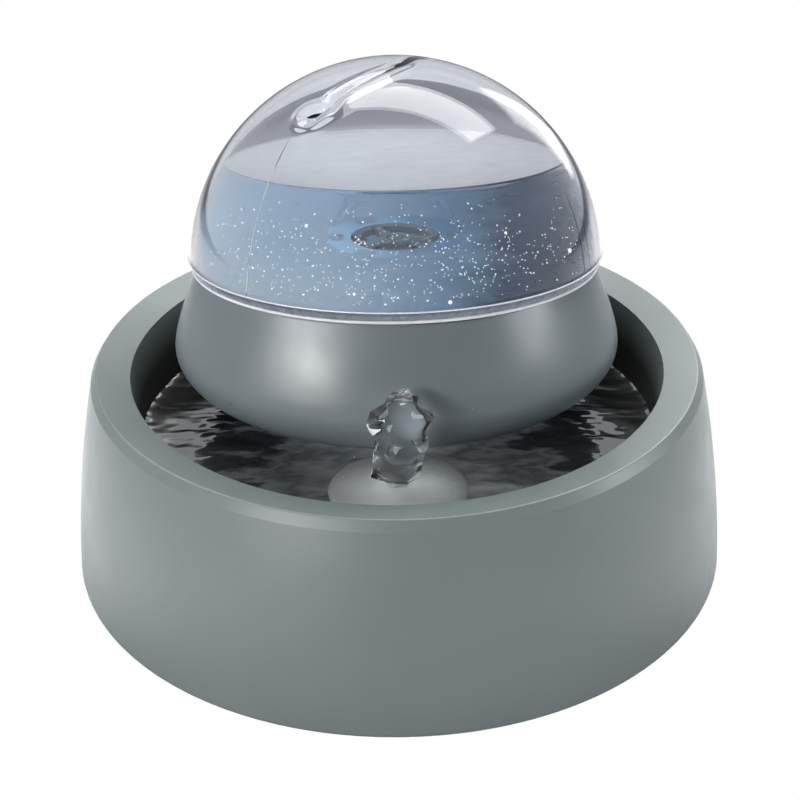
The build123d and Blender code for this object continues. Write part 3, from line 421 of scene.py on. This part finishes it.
# Tower's outer skin ------------------------------------------------------------------------------
TOWER_LINE = [
    (46.5, 50), (50.5, 55.5), (62.5, 60.4), (74.0, 65.4), (82.2, 71.2),
    (85.8, 78.5), (84.4, 87), (80.6, 97), (74.8, 110.4),
]
line = spline(TOWER_LINE, 120) / 1000
along = np.gradient(line, axis=0)
out = np.stack([along[:, 1], -along[:, 0]], 1) / np.linalg.norm(along, axis=1)[:, None]
skin = line + out * 0.00028
lip = [(0.07455, 0.11052), (0.0740, 0.11058), (0.0724, 0.11058), (0.0720, 0.11050)]
skin[-1] = (0.07478, 0.11036)
profile = [tuple(p) for p in skin] + lip + [tuple(p) for p in (line - out * 0.0002)[::-1]]
tower_rows = grid(lathe(profile, TOWER, 256), closed_rows=True)
tower_skin = piece("tower_skin", *tower_rows, tower_grey, "tower", slot="tower_plastic")


# Dome --------------------------------------------------------------------------------------------
def bearing(azimuth, height):
    """Unit vector from the dome's centre: azimuth from the front, positive to the right."""
    a, e = math.radians(azimuth), math.radians(height)
    return np.array((math.sin(a) * math.cos(e), -math.cos(a) * math.cos(e), math.sin(e)))


# Azimuth and elevation in degrees along the groove, from the pit to the top.
GROOVE = [
    (-33, 55.1), (-29.8, 56.5), (-28.6, 61.0), (-24.5, 65.0), (-17, 69.5), (-3, 74.5),
    (16, 78.5), (42, 82.0), (80, 83.0),
]
groove_line = np.array([bearing(*q) for q in GROOVE]) * DOME_R


def dome_arc(radius, angles):
    """Points of (radius, height) on the dome's arc."""
    return [(radius * math.cos(a), DOME_Z + radius * math.sin(a)) for a in angles]


foot = math.asin((FLANGE_TOP - DOME_Z) / DOME_R)
outer = dome_arc(DOME_R, np.linspace(math.pi / 2, foot, 220))
inner_r = DOME_R - DOME_WALL
inner_foot = math.asin((DOME_FOOT - DOME_Z) / inner_r)
inside = dome_arc(inner_r, np.linspace(inner_foot, math.pi / 2, 90))
edge = rounded([outer[-2], outer[-1], (0.0760, DOME_FOOT), inside[0], inside[1]], [0.0004, 0.0003, 0.0002])
rows = np.array(lathe(outer[:-2] + [tuple(p) for p in edge] + inside[2:], TOWER, 512))
centre = np.array((TOWER[0], TOWER[1], DOME_Z))
skin_rows = rows[: len(outer) - 2]
local = skin_rows - centre
unit = local / np.linalg.norm(local, axis=2)[..., None]
near = np.full(local.shape[:2], 1.0)
share = np.zeros(local.shape[:2])
for i, (a, b) in enumerate(zip(groove_line, groove_line[1:])):
    w = np.clip(((local - a) @ (b - a)) / ((b - a) @ (b - a)), 0, 1)
    d = np.linalg.norm(local - (a + w[..., None] * (b - a)), axis=2)
    closer = d < near
    near[closer] = d[closer]
    share[closer] = (i + w[closer]) / (len(groove_line) - 1)
fade = np.clip(1.15 - share, 0, 1)
pit = np.linalg.norm(local - bearing(-35.5, 54.6) * DOME_R, axis=2)
low_pit = np.linalg.norm(local - bearing(-33.0, 50.4) * DOME_R, axis=2)


def hollow(distance, middle, width):
    """A soft dip, 1 at its middle."""
    return np.exp(-(((distance - middle) / width) ** 2))


sink = 0.0008 * fade * hollow(near, 0, 0.0019) - 0.00018 * fade * hollow(near, 0.0042, 0.0016)
sink += 0.0013 * hollow(pit, 0, 0.0030) - 0.0003 * hollow(pit, 0.0058, 0.0016)
sink += 0.0004 * hollow(low_pit, 0, 0.0032)
rows[: len(outer) - 2] = skin_rows - unit * sink[..., None]
dome_clear = clear("dome_clear", (0.965, 0.97, 0.99), 0.015, 1.47, 0.00006, 30.0)
dome = piece("dome", *grid(rows), dome_clear, "reservoir", slot="clear_plastic", weld=0.00002)
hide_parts("reservoir_dome")


def seam(name, azimuth, low_angle, high_angle, width, height):
    """A fine moulding seam up the dome: a low three-sided ridge."""
    base = bearing(azimuth + 90, 0)
    rows = []
    for e in np.linspace(low_angle, high_angle, 60):
        u = bearing(azimuth, e)
        taper = min(1.0, (high_angle - e) / 8 + 0.15)
        middle = centre + u * (DOME_R - 0.00002)
        half = base * width / 2 * taper
        rows.append([middle - half, middle + u * height * taper, middle + half])
    seam_grid = grid(rows, closed_columns=True)
    return piece(name, *seam_grid, dome_clear, "reservoir", smooth=False, slot="clear_plastic")


seams = [
    seam("dome_seam_left", -38.5, 8.5, 48, 0.00055, 0.00016),
    seam("dome_seam_right", 56.0, 8.5, 30, 0.00055, 0.00016),
    seam("dome_seam_right_fine", 60.0, 8.5, 26, 0.00035, 0.00010),
]


def ring_band(name, points, material):
    """A thin closed ring round the foot of the tank, from its section."""
    rows = grid(lathe(points, TOWER, 384), closed_rows=True)
    return piece(name, *rows, material, "reservoir", slot="clear_plastic")


def painted_light_material(name, colour, rough, through):
    """Pale, cloudy clear plastic or water surface: painted highlight on the tank's edges, painted reflection
    on its water.
    """
    t = Tree(name)
    t.paint(t.noise(160.0, 3.0), [(0.3, tone(colour, 0.9)), (0.7, colour)])
    t.join(t.span(t.noise(300.0), rough * 0.7, rough * 1.3), t.shader.inputs["Roughness"])
    t.join(t.bump(t.noise(120.0, 2.0), 0.0001, 0.5), t.shader.inputs["Normal"])
    t.set(Transmission_Weight=through, IOR=1.45)
    return t.material


def bead(r, z, half):
    """Section of a small round edge."""
    angles = np.linspace(0, 2 * math.pi, 12, endpoint=False)
    return [(r + half * math.cos(a), z + half * math.sin(a)) for a in angles]


# Painted highlight: pale rings and a pale band stand in for the bright lines along the tank's clear foot.
edge_highlight = painted_light_material("tank_edge", (0.90, 0.92, 0.95), 0.2, 0.25)
foot_band_highlight = painted_light_material("tank_foot_band", (0.76, 0.83, 0.92), 0.3, 0.2)
ring_band("tank_foot_edge", bead(0.07640, 0.11085, 0.00055), edge_highlight)
ring_band("tank_step_edge", bead(0.07745, 0.11430, 0.00030), edge_highlight)
foot_band = [(0.0757, 0.1106), (0.0761, 0.1106), (0.0771, 0.1141), (0.0767, 0.1141)]
ring_band("tank_foot_band", foot_band, foot_band_highlight)


# Water in the tank -------------------------------------------------------------------------------
inner = DOME_R - DOME_WALL - 0.00005
water_low = TANK_FLOOR - 0.0006         # sunk into the floor, so that the two show no gap
low = math.asin((water_low - DOME_Z) / inner)
high = math.asin((TANK_WATER - DOME_Z) / inner)
wall_arc = dome_arc(inner, np.linspace(low, high, 24))
top_r = wall_arc[-1][0]
profile = [(0.0001, NECK_LOW), (NECK_R, NECK_LOW)]
profile += [(r, water_low) for r in (NECK_R, 0.02, 0.05)] + wall_arc
profile += [(top_r * f, TANK_WATER - 0.0003 * (1 - f) ** 0.5) for f in (0.985, 0.95, 0.8, 0.5, 0.2, 0.001)]


def water_material(name, tint, density, colour):
    """Clear water, with a colour of its own where a density is given."""
    t = Tree(name)
    wave = t.noise(35.0, 2.0, 0.4)
    t.join(t.bump(wave, 0.0002, 0.4), t.shader.inputs["Normal"])
    t.paint(t.noise(20.0), [(0.3, tint), (0.7, tone(tint, 1.03))])
    t.set(Transmission_Weight=1.0, IOR=1.333, Roughness=0.0)
    if density:
        volume = t.add("ShaderNodeVolumeAbsorption")
        volume.inputs["Color"].default_value = (*colour, 1)
        volume.inputs["Density"].default_value = density
        t.join(volume.outputs["Volume"], t.output.inputs["Volume"])
    return t.material


tank_blue = water_material("tank_water", (0.98, 0.99, 1.0), 3.0, (0.12, 0.50, 0.82))
tank_water = piece("tank_water", *grid(lathe(profile, TOWER, 160)), tank_blue, "reservoir")
# Painted reflection: a pale, cloudy sheet on the tank's water stands in for what its surface reflects.
surface_reflection = painted_light_material("tank_water_surface", (0.94, 0.95, 0.97), 0.10, 0.3)
top = [(top_r - 0.0001, TANK_WATER + 0.0007), (top_r - 0.0006, TANK_WATER + 0.00025)]
top += [(top_r * f, TANK_WATER + 0.0001) for f in (0.97, 0.9, 0.7, 0.4, 0.01)]
tank_surface = piece("tank_water_surface", *grid(lathe(top, TOWER, 256)), surface_reflection, "reservoir")


def beads(name, places, material, body, rings=6, segments=8):
    """Many small drops in one mesh: each is (centre, radius, up direction, flattening)."""
    verts, faces = [], []
    for place, radius, upward, flat in places:
        upward = Vector(upward).normalized()
        side = upward.orthogonal().normalized()
        across = upward.cross(side)
        base = len(verts)
        for i in range(rings + 1):
            polar = math.pi * i / rings
            for j in range(segments):
                a = 2 * math.pi * j / segments
                level = (side * math.cos(a) + across * math.sin(a)) * math.sin(polar)
                offset = level + upward * math.cos(polar) * flat
                verts.append(Vector(place) + offset * radius)
        for i in range(rings):
            for j in range(segments):
                a, b = base + i * segments + j, base + i * segments + (j + 1) % segments
                faces.append((a, b, b + segments, a + segments))
    return piece(name, verts, faces, material, body, weld=0.000001)


def glowing_bubble_material():
    """Fine air bubbles, white and glowing: painted light standing in for their glints."""
    t = Tree("bubble")
    t.paint(t.noise(900.0), [(0.3, (0.85, 0.88, 0.92)), (0.7, (1, 1, 1))])
    # Painted light: the bubbles glow white.
    t.set(Roughness=0.25, Emission_Color=(1, 1, 1, 1), Emission_Strength=0.9)
    return t.material


dice = random.Random(11)
places = []
while len(places) < 620:
    azimuth = dice.gauss(4, 34)
    height = dice.gauss(17.5, 7.0)
    if abs(azimuth) > 78 or not 9.5 < height < 33:
        continue
    radius = 0.00015 + 0.00017 * dice.random() ** 3
    u = bearing(azimuth, height)
    places.append((centre + u * (inner - 0.0003 - 0.0012 * dice.random() ** 2), radius, u, 1.0))
# Azimuth and elevation in degrees, radius in metres.
LARGE_BUBBLES = (
    (-24, 27, 0.0006), (52, 15.5, 0.0009), (-10, 12, 0.0005), (13, 9.6, 0.0007), (30, 24, 0.0005),
)
for azimuth, height, radius in LARGE_BUBBLES:
    u = bearing(azimuth, height)
    places.append((centre + u * (inner - 0.0012), radius, u, 1.0))
beads("tank_bubbles", places, glowing_bubble_material(), "reservoir", 4, 6)


# Water in the trough -----------------------------------------------------------------------------
def trough_wall(z):
    """Radius of the trough's wall at a height."""
    return TROUGH_R + (z - TROUGH_FLOOR) / TROUGH_HEIGHT * TROUGH_DRAFT


def trough_radius(angle):
    """Distance from the tower's axis to the trough's wall at the water level."""
    wall = trough_wall(WATER)
    c, s = math.cos(angle), math.sin(angle)
    b = TOWER[1] * s
    return -b + math.sqrt(b * b - TOWER[1] ** 2 + wall**2)


def ripple(x, y):
    """Height of the trough's water over its level: rings round the head, streaks and swell."""
    p = Vector((x, y, 0))
    d = math.hypot(x - STEM[0], y - STEM[1])
    rings = 0.0006 * math.sin(d * 900 - 3.0 * noise.noise(p * 40)) * math.exp(-d / 0.03)
    streak = Vector((x * 60 + 0.4 * math.sin(y * 90), y * 210, 1.5))
    swell = 0.0007 * noise.noise(p * 45) + 0.00034 * noise.noise(streak) + 0.00016 * noise.noise(streak * 2.6)
    beside = 1 / (1 + math.exp(-(abs(x) - 0.070) / 0.005))
    folds = 0.00012 * beside * noise.noise(Vector((x * 60, y * 95, 4.0)))
    return rings + swell + folds


rows = []
for f in np.linspace(0, 1, 70):
    row = []
    for a in np.linspace(0, 2 * math.pi, 520, endpoint=False):
        r = TROUGH_INNER + f * (trough_radius(a) + 0.0001 - TROUGH_INNER)
        x, y = TOWER[0] + r * math.cos(a), TOWER[1] + r * math.sin(a)
        edge = 0.0012 * (math.exp(-f * 30) + math.exp(-(1 - f) * 30))
        row.append((x, y, WATER + ripple(x, y) + edge))
    rows.append(row)


def trough_water_material():
    """Dark, moving water, paler with fine air where the jet falls back; darker away from the jet as painted
    shade, and its colours glow faintly as painted light.
    """
    t = Tree("trough_water")
    from_head = t.add("ShaderNodeVectorMath", operation="DISTANCE")
    t.join(t.place(), from_head.inputs[0])
    from_head.inputs[1].default_value = (STEM[0], STEM[1] + 0.004, WATER)
    swirl = t.scaled_sum(t.noise(34.0, 3.0, 0.6, (1, 2.4, 1)), -0.12, from_head.outputs["Value"])
    churn_light_and_shade = t.span(swirl, 1.0, 0.0, -0.055, 0.035)
    stops = [
        (0.0, (0.012, 0.014, 0.015)), (0.38, (0.06, 0.07, 0.075)), (0.5, (0.34, 0.36, 0.37)),
        (0.62, (0.16, 0.18, 0.19)), (1.0, (0.70, 0.73, 0.74)),
    ]
    # Paler near the jet from fine air, and darker away from it as painted shade; the colours also glow, as
    # painted light.
    t.paint(churn_light_and_shade, stops, "Base Color", "Emission Color")
    t.join(t.bump(t.noise(35.0, 2.0, 0.4), 0.0002, 0.4), t.shader.inputs["Normal"])
    t.set(Transmission_Weight=0.45, IOR=1.333, Roughness=0.04, Emission_Strength=0.10)
    return t.material


trough_wet = trough_water_material()
trough_water = piece("trough_water", *grid(rows), trough_wet, "bowl")


# Jet ---------------------------------------------------------------------------------------------
balls = bpy.data.metaballs.new("jet_balls")
balls.resolution = balls.render_resolution = 0.0008
balls.threshold = 0.5
dice = random.Random(8)


def ball(x, y, z, radius):
    element = balls.elements.new()
    element.co = (STEM[0] + x, STEM[1] + y, z)
    element.radius = radius


# Middle line of the jet, from the head's axis. It leans forward, clear of the tower's flare.
JET_LINE = [
    (0, 0, 0.0545), (0, -0.004, 0.0600), (0, -0.011, 0.0660), (0.0002, -0.0165, 0.0725),
    (0.0006, -0.0188, 0.0800), (0.0010, -0.0190, 0.0880),
]
JET_LEAN = -0.019
JET_FOOT = 0.0535               # height of the jet's flat foot on the head


def along_jet(share):
    """A point on the jet's leaning middle line."""
    place = share * (len(JET_LINE) - 1)
    i = min(len(JET_LINE) - 2, int(place))
    return Vector(JET_LINE[i]).lerp(Vector(JET_LINE[i + 1]), place - i)


for step in range(15):
    share = step / 14
    p = along_jet(share)
    width = (0.0052, 0.0088)[share > 0.2] + 0.0014 * math.sin(step * 1.9)
    ball(p.x + 0.0008 * math.sin(step * 1.3), p.y, p.z, width)
for _ in range(60):
    p = along_jet(dice.uniform(0.25, 1.0))
    a, r = dice.uniform(0, 2 * math.pi), 0.0062 * math.sqrt(dice.random())
    z = p.z + dice.uniform(-0.002, 0.002)
    ball(p.x + r * math.cos(a), p.y + 0.7 * r * math.sin(a), z, dice.uniform(0.0030, 0.0058))
for x, y, z, r in (
    (0.0020, -0.019, 0.0905, 0.0082), (0.0058, -0.0195, 0.0870, 0.0068), (-0.0056, -0.020, 0.0862, 0.0066),
    (-0.0066, -0.019, 0.0820, 0.0056), (0.0068, -0.019, 0.0815, 0.0056), (-0.0015, -0.023, 0.0870, 0.0066),
    (0.0056, -0.016, 0.0690, 0.0056), (-0.0050, -0.016, 0.0700, 0.0050),
):
    ball(x, y, z, r)
source = bpy.data.objects.new("jet_balls", balls)
scene.collection.objects.link(source)
bpy.context.view_layer.update()
graph = bpy.context.evaluated_depsgraph_get()
mesh = bpy.data.meshes.new_from_object(source.evaluated_get(graph), depsgraph=graph)
bpy.data.objects.remove(source)
verts = []
for v in mesh.vertices:
    p = v.co.copy()
    lean = JET_LEAN * min(1.0, max(0.0, (p.z - 0.056) / 0.02))
    n = Vector((p.x - STEM[0], p.y - STEM[1] - lean, 0.3 * (p.z - 0.075)))
    n.normalize()
    shift = 0.0030 * noise.noise(p * 290) + 0.0028 * noise.noise(p * 560) + 0.0010 * noise.noise(p * 900)
    p += n * shift
    p.z = max(p.z, JET_FOOT)
    verts.append(p)
faces = [tuple(f.vertices) for f in mesh.polygons]
spray = water_material("jet_water", (0.98, 0.99, 1.0), 0, None)
water_jet = piece("water_jet", verts, faces, spray, "head", weld=0.00001)


# Drops on the tower and in the air ---------------------------------------------------------------
def tower_point(azimuth, z):
    """A point on the tower's skin and its outward normal."""
    i = int(np.clip(np.searchsorted(line[:, 1], z), 1, len(line) - 1))
    w = (z - line[i - 1, 1]) / (line[i, 1] - line[i - 1, 1])
    r = line[i - 1, 0] + w * (line[i, 0] - line[i - 1, 0])
    o = out[i]
    a = math.radians(azimuth)
    where = Vector((TOWER[0] + r * math.sin(a), TOWER[1] - r * math.cos(a), z))
    return where, Vector((o[0] * math.sin(a), -o[0] * math.cos(a), o[1]))


dice = random.Random(21)
places = []
for _ in range(260):
    azimuth = dice.gauss(2, 26)
    z = 0.1085 - abs(dice.gauss(0.031, 0.0125))
    if abs(azimuth) > 62 or not 0.062 < z < 0.107:
        continue
    where, normal = tower_point(azimuth, z)
    radius = 0.00024 + 0.0004 * dice.random() ** 2
    places.append((where, radius, normal, 0.55))
water_drops = beads("water_drops", places, spray, "tower", 6, 10)
places = []
for _ in range(26):
    a = dice.uniform(0, 2 * math.pi)
    d = 0.006 + 0.012 * dice.random()
    where = (STEM[0] + d * math.cos(a), STEM[1] + d * math.sin(a) * 0.7, 0.064 + 0.028 * dice.random())
    places.append((where, dice.uniform(0.00018, 0.0005), (0, 0, 1), 1.1))
jet_drops = beads("jet_drops", places, spray, "head", 6, 10)
dice = random.Random(5)
places = []
for _ in range(90):
    a = math.radians(dice.uniform(0, 360))
    z = 0.053 + 0.020 * dice.random() ** 1.5
    r = trough_wall(z) - 0.00005
    if z > RIM_MIDDLE + r * math.sin(a) * math.sin(RIM_TILT) - 0.004:
        continue
    n = Vector((-math.cos(a), -math.sin(a), 0.08))
    places.append(((r * math.cos(a), r * math.sin(a), z), dice.uniform(0.0002, 0.0006), n, 0.5))
trough_drops = beads("trough_drops", places, spray, "bowl", 6, 10)


# Floor: white to the camera, pale grey through clear parts, and darker in reflections ------------
FLOOR_GLOW = 0.12               # light from the whole floor
FLOOR_SIDE = 0.95               # and from two strips of it beside the bowl
THROUGH_FLOOR = [
    (0.0, (0.80, 0.81, 0.84)), (0.42, (0.76, 0.77, 0.81)),
    (0.55, (0.28, 0.28, 0.33)), (1.0, (0.08, 0.08, 0.11)),
]
THROUGH_WORLD = (0.78, 0.80, 0.85, 1)

bm = bmesh.new()
bmesh.ops.create_grid(bm, x_segments=8, y_segments=8, size=12)
mesh = bpy.data.meshes.new("floor")
bm.to_mesh(mesh)
bm.free()
t = Tree("floor_paper")
t.paint(t.noise(3.0), [(0.3, (0.30, 0.30, 0.31)), (0.7, (0.33, 0.33, 0.34))])
parts = t.add("ShaderNodeSeparateXYZ")
t.join(t.place(), parts.inputs["Vector"])
across = t.add("ShaderNodeMath", operation="ABSOLUTE")
t.join(parts.outputs["X"], across.inputs[0])
beside = t.span(across.outputs["Value"], 0.0, 1.0, 0.10, 0.16)
far_side = t.span(across.outputs["Value"], 1.0, 0.0, 0.24, 0.42)
strips = t.times(beside, t.times(far_side, t.span(parts.outputs["X"], 1.0, 0.72, -0.05, 0.05)))
glow = t.add("ShaderNodeMath", operation="MULTIPLY_ADD")
t.join(strips, glow.inputs[0])
glow.inputs[1].default_value = FLOOR_SIDE
glow.inputs[2].default_value = FLOOR_GLOW
t.join(glow.outputs["Value"], t.shader.inputs["Emission Strength"])
t.set(Roughness=0.9, Emission_Color=(1, 1, 1, 1))
far = t.add("ShaderNodeEmission")
t.join(t.ramp(t.span(parts.outputs["Y"], 0.0, 1.0, 0.0, 2.4), THROUGH_FLOOR), far.inputs["Color"])
paper = t.add("ShaderNodeEmission")
paper.inputs["Color"].default_value = (1, 1, 1, 1)
rays = t.add("ShaderNodeLightPath")
shader = t.shader.outputs["BSDF"]
for ray, other in (("Is Transmission Ray", far), ("Is Camera Ray", paper)):
    choose = t.add("ShaderNodeMixShader")
    t.join(rays.outputs[ray], choose.inputs["Fac"])
    t.join(shader, choose.inputs[1])
    t.join(other.outputs["Emission"], choose.inputs[2])
    shader = choose.outputs["Shader"]
t.join(shader, t.output.inputs["Surface"])
mesh.materials.append(t.material)
floor = bpy.data.objects.new("floor", mesh)
scene.collection.objects.link(floor)


# Lights ------------------------------------------------------------------------------------------
CENTRE = (0, 0, 0.08)
COOL = (0.94, 0.97, 1.0)


def softbox(name, place, target, width, height, power, colour=(1, 1, 1)):
    lamp = bpy.data.objects.new(name, bpy.data.lights.new(name, "AREA"))
    lamp.data.shape = "RECTANGLE"
    lamp.data.size, lamp.data.size_y = width, height
    lamp.data.energy = power
    lamp.data.color = colour
    lamp.location = place
    lamp.rotation_mode = "QUATERNION"
    lamp.rotation_quaternion = (Vector(target) - Vector(place)).to_track_quat("-Z", "Y")
    scene.collection.objects.link(lamp)
    return lamp


def aimed(azimuth, height, distance):
    """A place round the fountain: azimuth from the front, positive to the right, and elevation."""
    a, e = math.radians(azimuth), math.radians(height)
    level = distance * math.cos(e)
    return (level * math.sin(a), -level * math.cos(a), CENTRE[2] + distance * math.sin(e))


left = softbox("light_left", aimed(-32, 15, 1.0), CENTRE, 0.46, 0.36, 6.8)
side = softbox("light_right", aimed(74, 13, 1.0), CENTRE, 0.40, 0.36, 3.2, COOL)
above = softbox("light_top", (0.12, 0.50, 1.25), (0, 0.1, 0.08), 1.5, 0.62, 21.0)
behind = softbox("light_back_right", aimed(146, 35, 1.3), CENTRE, 1.1, 0.5, 8.5)
band = softbox("dome_band", (0.14, 0.50, 1.20), (0, 0.0, 0.12), 1.3, 0.44, 7.5)
sweep = softbox("dome_sweep", (0.62, 0.92, 0.50), (0, 0.0, 0.12), 0.36, 0.55, 0.9)
key = softbox("light_key", aimed(-98, 40, 1.2), CENTRE, 0.5, 0.5, 3.5)
glint_left = softbox("tower_glint_left", aimed(-46, 19, 1.0), CENTRE, 0.50, 0.18, 8.6)
glint_right = softbox("tower_glint_right", aimed(76, 20, 1.0), CENTRE, 0.30, 0.12, 4.2, COOL)
spark_left = softbox("jet_spark_left", aimed(-62, 34, 0.7), CENTRE, 0.20, 0.20, 2.6)
spark_top = softbox("jet_spark_top", aimed(35, 66, 0.7), CENTRE, 0.24, 0.16, 2.6)


def reach(name, lamps, pieces, state):
    """Lets lights reach only the pieces (INCLUDE), or all but the pieces (EXCLUDE)."""
    group = bpy.data.collections.new(name)
    for obj in pieces:
        group.objects.link(obj)
    for linked in group.collection_objects:
        linked.light_linking.link_state = state
    for lamp in lamps:
        lamp.light_linking.receiver_collection = group


tank = [dome, tank_water, tank_surface] + seams
dome_parts = [dome] + seams
drops = [water_jet, jet_drops, water_drops, trough_drops]
reach("tower_only", [glint_left, glint_right], [tower_skin], "INCLUDE")
reach("jet_and_drops", [spark_left, spark_top], drops, "INCLUDE")
reach("dome_only", [band, sweep], dome_parts, "INCLUDE")
reach("all_but_water_and_tower", [left, side, behind], tank + [trough_water, tower_skin], "EXCLUDE")
reach("all_but_dome_and_trough", [above], dome_parts + [trough_water], "EXCLUDE")
reach("all_but_dome_trough_and_tower", [key], dome_parts + [trough_water, tower_skin], "EXCLUDE")
behind.visible_transmission = False


# World: a studio that is lighter behind, white to the camera and pale through clear parts --------
world = bpy.data.worlds.new("studio")
world.use_nodes = True
scene.world = world
wn, wl = world.node_tree.nodes, world.node_tree.links
coordinate = wn.new("ShaderNodeTexCoord")
split = wn.new("ShaderNodeSeparateXYZ")
ramp = wn.new("ShaderNodeValToRGB")
span = wn.new("ShaderNodeMapRange")
span.inputs["From Min"].default_value = -1.0
wl.new(coordinate.outputs["Generated"], split.inputs["Vector"])
wl.new(split.outputs["Y"], span.inputs["Value"])
wl.new(span.outputs["Result"], ramp.inputs["Fac"])
for element, position, colour in zip(
    ramp.color_ramp.elements, (0.05, 0.75), ((0.06, 0.065, 0.07, 1), (0.42, 0.43, 0.46, 1))
):
    element.position = position
    element.color = colour
wl.new(ramp.outputs["Color"], wn["Background"].inputs["Color"])
wn["Background"].inputs["Strength"].default_value = 0.8
rays = wn.new("ShaderNodeLightPath")
shader = wn["Background"].outputs["Background"]
for ray, colour in (("Is Transmission Ray", THROUGH_WORLD), ("Is Camera Ray", (1, 1, 1, 1))):
    backdrop = wn.new("ShaderNodeBackground")
    backdrop.inputs["Color"].default_value = colour
    choose = wn.new("ShaderNodeMixShader")
    wl.new(rays.outputs[ray], choose.inputs["Fac"])
    wl.new(shader, choose.inputs[1])
    wl.new(backdrop.outputs["Background"], choose.inputs[2])
    shader = choose.outputs["Shader"]
wl.new(shader, wn["World Output"].inputs["Surface"])
